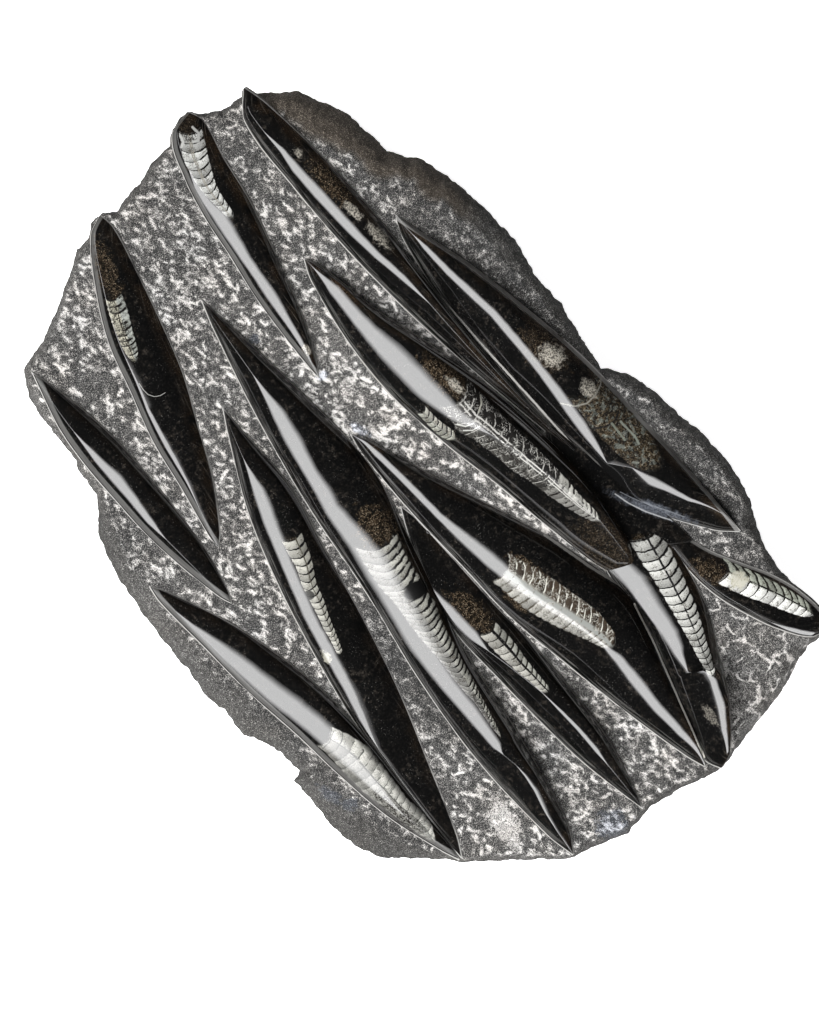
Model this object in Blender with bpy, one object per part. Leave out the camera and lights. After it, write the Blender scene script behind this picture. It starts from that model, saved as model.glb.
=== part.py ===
"""Orthoceras plate: one slab of black limestone with fossil shells standing in it as polished ridges.

The slab lies on its flat sawn back, +Z up, with its longest extent along Y and its origin at the
middle of the back. Every ridge is cut from the same stone, so slab and ridges are one solid.

The layout is drawn on a plan seen from above: x to the right, y down, in steps of PLAN_UNIT.
The plan is then turned by PLAN_TURN so that the long way of the slab lies along Y.
"""

import math
from collections import namedtuple

import bmesh
import bpy
from mathutils import Vector

MM = 0.001

# Driving dimensions.
PLAN_UNIT = 0.45 * MM
PLAN_TURN = math.radians(42.5)
GROUND = 24.0 * MM  # chiselled ground between the ridges, above the back
BELLY = 9.0 * MM  # height at which the broken side stands out furthest
SHOULDER = 19.0 * MM  # height at which the side rolls over towards the ground
UNDERCUT = 4.0 * MM  # how far the back lies inside the outline
SHOULDER_SHARE = 0.35  # part of the rim's width already reached at the shoulder
RIDGE_ROOT = 5.0 * MM  # how deep a ridge's solid reaches into the slab
RIDGE_RISE = 0.4  # crest height over width, for a narrow ridge
RIDGE_TALLEST = 14.0 * MM  # height that the crest of an ever wider ridge would level off at

# Broken edge of the slab, clockwise: plan x, plan y, and the width in mm of the sloping rim there.
OUTLINE = (
    (244, 92, 4), (268, 89, 10), (297, 87, 18), (327, 100, 19), (348, 111, 18), (378, 138, 15),
    (386, 148, 13), (420, 155, 13), (439, 167, 13), (456, 178, 12), (492, 212, 11), (520, 242, 10),
    (537, 273, 8), (562, 301, 7), (582, 335, 6), (603, 366, 4), (627, 371, 6), (649, 385, 7),
    (677, 409, 7), (703, 430, 7), (728, 458, 6), (741, 477, 5), (753, 501, 5), (760, 529, 5),
    (769, 550, 4), (781, 568, 4), (800, 588, 3), (818, 605, 2), (829, 620, 2), (828, 634, 2),
    (813, 645, 5), (802, 660, 7), (790, 685, 7), (772, 709, 7), (747, 740, 5), (736, 756, 3),
    (720, 773, 3), (686, 789, 4), (655, 807, 4), (646, 816, 3), (631, 835, 4), (594, 850, 4),
    (572, 861, 3), (510, 863, 4), (464, 865, 3), (426, 861, 6), (378, 861, 15), (360, 852, 17),
    (339, 837, 17), (324, 821, 16), (309, 801, 13), (293, 783, 8), (299, 773, 6), (283, 758, 7),
    (265, 745, 9), (242, 737, 11), (230, 722, 12), (204, 696, 12), (181, 666, 12), (158, 638, 11),
    (135, 607, 11), (118, 583, 11), (104, 556, 10), (95, 532, 7), (96, 513, 5), (94, 494, 5),
    (78, 475, 4), (72, 459, 4), (56, 438, 4), (40, 419, 4), (27, 398, 4), (21, 368, 4),
    (40, 339, 4), (54, 309, 4), (67, 272, 4), (75, 247, 4), (87, 235, 2), (89, 222, 1),
    (99, 212, 1), (115, 210, 3), (126, 191, 5), (137, 181, 5), (150, 159, 5), (169, 143, 2),
    (171, 128, 1), (178, 116, 1), (187, 110, 1), (199, 112, 2), (220, 107, 4), (230, 100, 4),
)

# Shares of a ridge's length at which its half-widths are given.
STATIONS = (0.05, 0.2, 0.35, 0.5, 0.65, 0.8, 0.95)

# tip and end: plan points at the ridge's two ends. left and right: distance in mm from the straight
# line between them to the ridge's lower-left and upper-right foot, at each station. crest: where
# the top lies between the two feet, from 0 at the left to 1 at the right.
Ridge = namedtuple("Ridge", "name tip end left right crest")
RIDGES = (
    Ridge("a", (31, 371), (233, 605),
          (2, 7.5, 9.5, 9.5, 9, 6.5, 2.5), (2, 6.5, 9, 9.5, 9, 7.5, 3), 0.6),
    Ridge("b", (100, 214), (219, 550),
          (7.5, 13.5, 16, 14, 12, 7, 2.5), (4, 7.5, 10, 11.5, 10, 8.5, 3.5), 0.45),
    Ridge("c", (188, 111), (319, 379),
          (11.5, 15, 14.5, 12, 10, 6.5, 2), (4.5, 5.5, 7.5, 7.5, 7, 6, 2.5), 0.6),
    Ridge("d", (243, 86), (612, 484),
          (10.5, 14.5, 16, 15, 12, 7.5, 2.5), (2.5, 5, 4.5, 1, -2, -3, -0.5), 0.6),
    Ridge("e", (394, 213), (742, 532),
          (6, 14.5, 19.5, 23, 23, 22.5, 8.5), (1.5, 6.5, 9, 10, 8, 5.5, 1.5), 0.6),
    Ridge("f", (303, 257), (637, 575),
          (5.5, 14, 18, 17, 14, 12, 8), (3, 6, 12, 16, 17, 15.5, 8), 0.65),
    Ridge("g", (200, 298), (575, 857),
          (3, 9, 12, 12, 14, 12.5, 5), (4, 14.5, 22, 17, 11, 10, 6), 0.6),
    Ridge("h", (222, 406), (463, 860),
          (3.5, 12, 15.5, 16, 14.5, 9.5, 3), (2.5, 10.5, 11, 11.5, 10.5, 7, 3), 0.55),
    Ridge("i", (148, 585), (461, 861),
          (2.5, 4.5, 6.5, 6.5, 7.5, 7, 2.5), (4, 11.5, 15.5, 16.5, 13, 7.5, 3), 0.65),
    Ridge("j", (349, 433), (706, 768),
          (3, 7, 9, 11, 9, 6.5, 2.5), (4.5, 13, 22.5, 30, 31.5, 20, 5.5), 0.6),
    Ridge("k", (400, 505), (644, 810),
          (4, 14, 16.5, 14.5, 12, 8.5, 2.5), (2, 4, 5.5, 8, 8.5, 7.5, 2.5), 0.6),
    Ridge("l", (600, 500), (722, 769),
          (2, 9.5, 6, 4.5, 5, 5, 4), (7.5, 20, 23.5, 24, 20, 16, 7), 0.65),
    Ridge("m", (645, 512), (828, 630),
          (2, 7.5, 12.5, 14.5, 14, 12, 7), (0, 1, 1.5, 4.5, 7.5, 8, 5), 0.5),
)

# Mesh steps.
RIDGE_ROWS = 15
RIDGE_COLUMNS = 8
NORMAL_SPREAD = 3  # neighbours each way that share in an outline point's direction


def turned(x, y):
    """Plan point to metres, turned on to the slab's axes but not yet centred."""
    right, up = x * PLAN_UNIT, -y * PLAN_UNIT
    cos_turn, sin_turn = math.cos(PLAN_TURN), math.sin(PLAN_TURN)
    return Vector((right * cos_turn + up * sin_turn, up * cos_turn - right * sin_turn))


def outline_middle():
    """Middle of the outline's bounding rectangle on the slab's axes."""
    points = [turned(x, y) for x, y, _ in OUTLINE]
    xs = [p.x for p in points]
    ys = [p.y for p in points]
    return Vector(((min(xs) + max(xs)) / 2, (min(ys) + max(ys)) / 2))


MIDDLE = outline_middle()


def plan_point(x, y):
    """Plan point to the slab's own X and Y, in metres."""
    return turned(x, y) - MIDDLE


def inward_directions(points):
    """Unit vectors into the slab at each outline point, shared out between neighbours."""
    count = len(points)
    directions = []
    for i in range(count):
        total = Vector((0.0, 0.0))
        for step in range(-NORMAL_SPREAD, NORMAL_SPREAD):
            run = points[(i + step + 1) % count] - points[(i + step) % count]
            total += Vector((run.y, -run.x))
        directions.append(total.normalized())
    return directions


def slab_ring(mesh, height, inset_of):
    """One closed ring of vertices round the slab; inset_of gives the inset for a rim width."""
    points = [plan_point(x, y) for x, y, _ in OUTLINE]
    ring = []
    for point, inward, (_, _, rim) in zip(points, inward_directions(points), OUTLINE):
        place = point + inward * inset_of(rim * MM)
        ring.append(mesh.verts.new((place.x, place.y, height)))
    return ring


def join_rings(mesh, lower, upper):
    """Band of triangles between two rings with the same number of vertices."""
    count = len(lower)
    for i in range(count):
        j = (i + 1) % count
        mesh.faces.new((lower[i], lower[j], upper[j]))
        mesh.faces.new((lower[i], upper[j], upper[i]))


def link_mesh(mesh, name):
    """Turns a bmesh into an object of that name with its faces pointing out."""
    bmesh.ops.recalc_face_normals(mesh, faces=mesh.faces)
    data = bpy.data.meshes.new(name)
    mesh.to_mesh(data)
    mesh.free()
    made = bpy.data.objects.new(name, data)
    bpy.context.scene.collection.objects.link(made)
    return made


def build_slab():
    """The slab without its ridges: flat back, broken bulging side, sloping rim and flat ground."""
    mesh = bmesh.new()
    rings = (
        slab_ring(mesh, 0.0, lambda rim: UNDERCUT),
        slab_ring(mesh, BELLY, lambda rim: 0.0),
        slab_ring(mesh, SHOULDER, lambda rim: rim * SHOULDER_SHARE),
        slab_ring(mesh, GROUND, lambda rim: rim),
    )
    for lower, upper in zip(rings, rings[1:]):
        join_rings(mesh, lower, upper)
    mesh.faces.new(rings[0])
    mesh.faces.new(rings[-1])
    return link_mesh(mesh, "fossil_plate")


def eased(share, values):
    """Half-width at a share of the length: smooth between the stations, and 0 at both ends."""
    knots = (0.0, *STATIONS, 1.0)
    heights = (0.0, *values, 0.0)
    slopes = []
    for i in range(len(knots)):
        before, after = max(i - 1, 0), min(i + 1, len(knots) - 1)
        slopes.append((heights[after] - heights[before]) / (knots[after] - knots[before]))
    span = next(i for i in range(len(knots) - 1) if share <= knots[i + 1])
    width = knots[span + 1] - knots[span]
    t = (share - knots[span]) / width
    start = (2 * t**3 - 3 * t**2 + 1) * heights[span] + (t**3 - 2 * t**2 + t) * width * slopes[span]
    finish = (3 * t**2 - 2 * t**3) * heights[span + 1] + (t**3 - t**2) * width * slopes[span + 1]
    return start + finish


def profile(across, crest):
    """Height over crest height of a ridge at a place between its feet: 0, rounded up to 1, 0."""
    if across < crest:
        away = (crest - across) / crest
    else:
        away = (across - crest) / (1.0 - crest)
    return math.sqrt(max(0.0, 1.0 - away**2.2))


def ridge_section(ridge, share):
    """Places and heights across a ridge at a share of its length, left foot first."""
    tip = plan_point(*ridge.tip)
    along = plan_point(*ridge.end) - tip
    unit = along.normalized()
    leftward = Vector((unit.y, -unit.x))
    left = eased(share, ridge.left) * MM
    right = -eased(share, ridge.right) * MM
    crest_height = RIDGE_TALLEST * math.tanh(RIDGE_RISE * (left - right) / RIDGE_TALLEST)
    section = []
    for column in range(RIDGE_COLUMNS + 1):
        across = 0.5 - 0.5 * math.cos(math.pi * column / RIDGE_COLUMNS)
        place = tip + along * share + leftward * (left + (right - left) * across)
        section.append(Vector((place.x, place.y, GROUND + crest_height * profile(across, ridge.crest))))
    return section


def build_ridge(ridge):
    """One lens-shaped ridge as a closed solid that reaches down into the slab."""
    mesh = bmesh.new()
    rings = []
    for row in range(RIDGE_ROWS + 1):
        share = 0.01 + 0.98 * (0.5 - 0.5 * math.cos(math.pi * row / RIDGE_ROWS))
        section = ridge_section(ridge, share)
        root = GROUND - RIDGE_ROOT
        corners = [Vector((section[-1].x, section[-1].y, root)), Vector((section[0].x, section[0].y, root))]
        rings.append([mesh.verts.new(p) for p in section + corners])
    for lower, upper in zip(rings, rings[1:]):
        join_rings(mesh, lower, upper)
    mesh.faces.new(rings[0])
    mesh.faces.new(rings[-1])
    return link_mesh(mesh, "ridge_" + ridge.name)


def join_ridges(slab, ridges):
    """Unions the ridges with the slab and leaves their own solids as hidden guides."""
    guides = bpy.data.collections.new("ridges")
    bpy.context.scene.collection.children.link(guides)
    for ridge in ridges:
        bpy.context.scene.collection.objects.unlink(ridge)
        guides.objects.link(ridge)
        ridge.hide_render = True
        ridge.display_type = "WIRE"
    union = slab.modifiers.new("ridges", "BOOLEAN")
    union.operation = "UNION"
    union.operand_type = "COLLECTION"
    union.collection = guides
    union.solver = "EXACT"


def stone_material():
    """Black limestone: dark, neutral and part polished."""
    material = bpy.data.materials.new("black_limestone")
    material.use_nodes = True
    shader = material.node_tree.nodes["Principled BSDF"]
    shader.inputs["Base Color"].default_value = (0.055, 0.053, 0.05, 1.0)
    shader.inputs["Roughness"].default_value = 0.45
    shader.inputs["Metallic"].default_value = 0.0
    return material


def main():
    for old in list(bpy.data.objects):
        bpy.data.objects.remove(old, do_unlink=True)
    slab = build_slab()
    slab.data.materials.append(stone_material())
    join_ridges(slab, [build_ridge(ridge) for ridge in RIDGES])


main()
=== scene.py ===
"""Looks of the orthoceras plate: rough chiselled black limestone with thirteen polished ridges.

Units are metres, +Z up, the slab's flat back on z = 0. Layout points are plan points, as in the CAD
part: x to the right and y down on a plan seen from above, in steps of PLAN_UNIT, turned by PLAN_TURN.
"""

import math
from collections import namedtuple

import bpy
import numpy as np
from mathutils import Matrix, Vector, kdtree, noise
from mathutils.geometry import delaunay_2d_cdt


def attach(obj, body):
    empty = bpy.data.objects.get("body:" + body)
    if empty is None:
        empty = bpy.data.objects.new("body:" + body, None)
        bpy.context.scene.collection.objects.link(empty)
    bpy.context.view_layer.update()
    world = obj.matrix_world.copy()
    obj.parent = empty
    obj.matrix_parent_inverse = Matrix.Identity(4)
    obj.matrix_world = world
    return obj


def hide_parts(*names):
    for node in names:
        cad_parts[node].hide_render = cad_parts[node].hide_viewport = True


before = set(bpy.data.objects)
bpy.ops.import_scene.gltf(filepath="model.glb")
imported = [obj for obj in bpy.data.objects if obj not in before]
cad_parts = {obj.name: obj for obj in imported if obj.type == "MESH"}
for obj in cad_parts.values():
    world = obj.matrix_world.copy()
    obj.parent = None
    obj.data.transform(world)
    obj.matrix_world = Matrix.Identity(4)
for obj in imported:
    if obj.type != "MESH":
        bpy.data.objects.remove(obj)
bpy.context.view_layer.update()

MM = 0.001
PLATE = "fossil_plate"

# ---------------------------------------------------------------- layout shared with the CAD part

PLAN_UNIT = 0.45 * MM
PLAN_TURN = math.radians(42.5)
GROUND = 24.0 * MM  # chiselled ground between the ridges, above the back
BELLY = 9.0 * MM  # height at which the broken side stands out furthest
SHOULDER = 19.0 * MM  # height at which the side rolls over towards the ground
UNDERCUT = 4.0 * MM  # how far the back lies inside the outline
SHOULDER_SHARE = 0.35  # part of the rim's width already reached at the shoulder

# Broken edge of the slab, clockwise: plan x, plan y, and the width in mm of the sloping rim there.
OUTLINE = (
    (244, 92, 4), (268, 89, 10), (297, 87, 18), (327, 100, 19), (348, 111, 18), (378, 138, 15),
    (386, 148, 13), (420, 155, 13), (439, 167, 13), (456, 178, 12), (492, 212, 11), (520, 242, 10),
    (537, 273, 8), (562, 301, 7), (582, 335, 6), (603, 366, 4), (627, 371, 6), (649, 385, 7),
    (677, 409, 7), (703, 430, 7), (728, 458, 6), (741, 477, 5), (753, 501, 5), (760, 529, 5),
    (769, 550, 4), (781, 568, 4), (800, 588, 3), (818, 605, 2), (829, 620, 2), (828, 634, 2),
    (813, 645, 5), (802, 660, 7), (790, 685, 7), (772, 709, 7), (747, 740, 5), (736, 756, 3),
    (720, 773, 3), (686, 789, 4), (655, 807, 4), (646, 816, 3), (631, 835, 4), (594, 850, 4),
    (572, 861, 3), (510, 863, 4), (464, 865, 3), (426, 861, 6), (378, 861, 15), (360, 852, 17),
    (339, 837, 17), (324, 821, 16), (309, 801, 13), (293, 783, 8), (299, 773, 6), (283, 758, 7),
    (265, 745, 9), (242, 737, 11), (230, 722, 12), (204, 696, 12), (181, 666, 12), (158, 638, 11),
    (135, 607, 11), (118, 583, 11), (104, 556, 10), (95, 532, 7), (96, 513, 5), (94, 494, 5),
    (78, 475, 4), (72, 459, 4), (56, 438, 4), (40, 419, 4), (27, 398, 4), (21, 368, 4),
    (40, 339, 4), (54, 309, 4), (67, 272, 4), (75, 247, 4), (87, 235, 2), (89, 222, 1),
    (99, 212, 1), (115, 210, 3), (126, 191, 5), (137, 181, 5), (150, 159, 5), (169, 143, 2),
    (171, 128, 1), (178, 116, 1), (187, 110, 1), (199, 112, 2), (220, 107, 4), (230, 100, 4),
)

# Shares of a ridge's length at which its half-widths are given.
STATIONS = (0.05, 0.2, 0.35, 0.5, 0.65, 0.8, 0.95)

# tip, end, left and right are the CAD part's, a little wider where j and l meet. foot: lean of the left
# flank where it leaves the ground, in degrees, one number or (share, lean) pairs. band: the stretch of the
# left flank that leans towards the long softbox and mirrors it, as (share of the length, where it starts,
# where it stops), with 0 at the left foot and 1 at the right.
Ridge = namedtuple("Ridge", "name tip end left right foot band")
RIDGES = (
    Ridge("a", (31, 371), (233, 605), (2, 7.5, 9.5, 9.5, 9, 6.5, 2.5), (2, 6.5, 9, 9.5, 9, 7.5, 3), 62,
          ((0.24, 0.34, 0.35), (0.36, 0.26, 0.45), (0.45, 0.24, 0.54), (0.53, 0.24, 0.49),
           (0.62, 0.23, 0.41), (0.7, 0.3, 0.31))),
    Ridge("b", (100, 214), (219, 550), (7.5, 13.5, 16, 14, 12, 7, 2.5), (4, 7.5, 10, 11.5, 10, 8.5, 3.5), 62,
          ((0.4, 0.19, 0.2), (0.56, 0.15, 0.22), (0.63, 0.17, 0.28), (0.71, 0.19, 0.31), (0.79, 0.22, 0.3),
           (0.88, 0.25, 0.26))),
    Ridge("c", (188, 111), (319, 379), (11.5, 15, 14.5, 12, 10, 6.5, 2), (4.5, 5.5, 7.5, 7.5, 7, 6, 2.5), 62,
          ((0.18, 0.18, 0.19), (0.24, 0.12, 0.23), (0.3, 0.11, 0.31), (0.37, 0.12, 0.45), (0.43, 0.12, 0.45),
           (0.53, 0.17, 0.46), (0.6, 0.22, 0.5), (0.68, 0.23, 0.58), (0.78, 0.3, 0.56), (0.86, 0.34, 0.59),
           (0.96, 0.44, 0.5))),
    Ridge("d", (243, 86), (612, 484), (10.5, 14.5, 16, 15, 12, 7.5, 2.5), (2.5, 5, 4.5, 1, -2, -3, -0.5), 58,
          ((0.09, 0.33, 0.34), (0.14, 0.3, 0.44), (0.18, 0.21, 0.44), (0.24, 0.21, 0.47), (0.34, 0.26, 0.48),
           (0.4, 0.33, 0.5), (0.46, 0.45, 0.61), (0.53, 0.61, 0.62))),
    Ridge("e", (394, 213), (742, 532), (6, 14.5, 19.5, 23, 23, 22.5, 8.5), (1.5, 6.5, 9, 10, 8, 5.5, 1.5),
          ((0.45, 48), (0.63, 60), (0.76, 34)),
          ((0.06, 0.58, 0.6), (0.1, 0.46, 0.65), (0.17, 0.43, 0.6), (0.3, 0.47, 0.61), (0.38, 0.42, 0.56),
           (0.46, 0.37, 0.5), (0.53, 0.29, 0.45), (0.6, 0.21, 0.37), (0.65, 0.17, 0.27), (0.69, 0.155, 0.16),
           (0.735, 0.365, 0.37), (0.785, 0.34, 0.5), (0.82, 0.42, 0.55), (0.87, 0.5, 0.6),
           (0.95, 0.85, 0.855))),
    Ridge("f", (303, 257), (637, 575), (5.5, 14, 18, 17, 14, 12, 8), (3, 6, 12, 16, 17, 15.5, 8),
          ((0.6, 54), (0.85, 40)),
          ((0.03, 0.55, 0.58), (0.1, 0.36, 0.8), (0.15, 0.35, 0.74), (0.22, 0.31, 0.7), (0.28, 0.27, 0.71),
           (0.34, 0.25, 0.66), (0.4, 0.24, 0.6), (0.48, 0.3, 0.5), (0.56, 0.48, 0.49), (0.664, 0.56, 0.563),
           (0.856, 0.69, 0.693))),
    Ridge("g", (200, 298), (575, 857), (3, 9, 12, 12, 14, 12.5, 5), (4, 14.5, 22, 17, 11, 10, 6), 60,
          ((0.14, 0.43, 0.44), (0.21, 0.26, 0.54), (0.25, 0.2, 0.5), (0.31, 0.18, 0.4), (0.37, 0.14, 0.38),
           (0.43, 0.14, 0.5), (0.48, 0.11, 0.59), (0.6, 0.13, 0.61), (0.67, 0.23, 0.6), (0.73, 0.32, 0.64),
           (0.795, 0.41, 0.62), (0.81, 0.5, 0.505), (0.835, 0.6, 0.605), (0.855, 0.61, 0.66),
           (0.88, 0.59, 0.67), (0.92, 0.47, 0.54), (0.96, 0.42, 0.43))),
    Ridge("h", (222, 406), (463, 860), (3.5, 12, 15.5, 16, 14.5, 9.5, 3),
          (2.5, 10.5, 11, 11.5, 10.5, 7, 3), 60,
          ((0.11, 0.36, 0.37), (0.18, 0.24, 0.55), (0.24, 0.2, 0.5), (0.3, 0.2, 0.44), (0.36, 0.18, 0.4),
           (0.43, 0.14, 0.36), (0.59, 0.14, 0.34), (0.66, 0.1, 0.25), (0.73, 0.09, 0.1))),
    Ridge("i", (148, 585), (461, 861), (2.5, 4.5, 6.5, 6.5, 7.5, 7, 2.5),
          (4, 11.5, 15.5, 16.5, 13, 7.5, 3), 62,
          ((0.09, 0.29, 0.3), (0.15, 0.16, 0.36), (0.23, 0.09, 0.49), (0.32, 0.12, 0.56), (0.42, 0.13, 0.6),
           (0.56, 0.2, 0.67), (0.72, 0.3, 0.6), (0.82, 0.4, 0.41))),
    Ridge("j", (349, 433), (706, 768), (3, 7, 9, 11, 9, 6.5, 2.5), (4.5, 13, 22.5, 30.5, 33, 21.5, 7), 45,
          ((0.01, 0.7, 0.71), (0.03, 0.6, 0.8), (0.07, 0.42, 0.72), (0.13, 0.38, 0.58), (0.18, 0.34, 0.51),
           (0.25, 0.28, 0.42), (0.31, 0.24, 0.43), (0.38, 0.23, 0.44), (0.43, 0.25, 0.42),
           (0.48, 0.28, 0.37), (0.57, 0.34, 0.4), (0.67, 0.41, 0.44), (0.71, 0.39, 0.51), (0.77, 0.36, 0.55),
           (0.84, 0.34, 0.55), (0.91, 0.38, 0.65), (0.98, 0.6, 0.8))),
    Ridge("k", (400, 505), (644, 810), (4, 14, 16.5, 14.5, 12, 8.5, 2.5), (2, 4, 5.5, 8, 8.5, 7.5, 2.5), 56,
          ((0.16, 0.02, 0.03), (0.24, 0.03, 0.21), (0.29, 0.06, 0.32), (0.34, 0.1, 0.35), (0.38, 0.14, 0.36),
           (0.43, 0.25, 0.26), (0.6, 0.47, 0.48), (0.67, 0.48, 0.55), (0.73, 0.49, 0.59), (0.8, 0.47, 0.6),
           (0.85, 0.51, 0.52))),
    Ridge("l", (600, 500), (722, 769), (2, 10.5, 7.5, 6, 6.5, 6.5, 5.5), (7.5, 20, 23.5, 24, 20, 16, 7),
          ((0.35, 31), (0.5, 42), (0.62, 46)),
          ((0.15, 0.1, 0.11), (0.19, 0.05, 0.33), (0.27, 0.05, 0.4), (0.35, 0.05, 0.43), (0.41, 0.1, 0.45),
           (0.5, 0.19, 0.48), (0.57, 0.26, 0.46), (0.65, 0.38, 0.385), (0.665, 0.64, 0.645),
           (0.7, 0.67, 0.8), (0.79, 0.67, 0.82), (0.87, 0.68, 0.82), (0.97, 0.82, 0.83))),
    Ridge("m", (645, 512), (828, 630), (2, 7.5, 12.5, 14.5, 14, 12, 7), (0, 1, 1.5, 4.5, 7.5, 8, 5), 56,
          ((0.6, 0.12, 0.125), (0.76, 0.08, 0.085), (0.84, 0.05, 0.15), (0.93, 0.05, 0.24),
           (1.0, 0.05, 0.3))),
)
# Low polished ground where the ridges d, e, f and l run into each other.
SADDLE = Ridge("n", (545, 425), (692, 541), (4, 14, 28, 34, 30, 18, 7), (2, 5, 7, 5, 3, 2, 1), 9,
               ((0, 0.4, 0.45), (1, 0.4, 0.45)))

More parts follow.
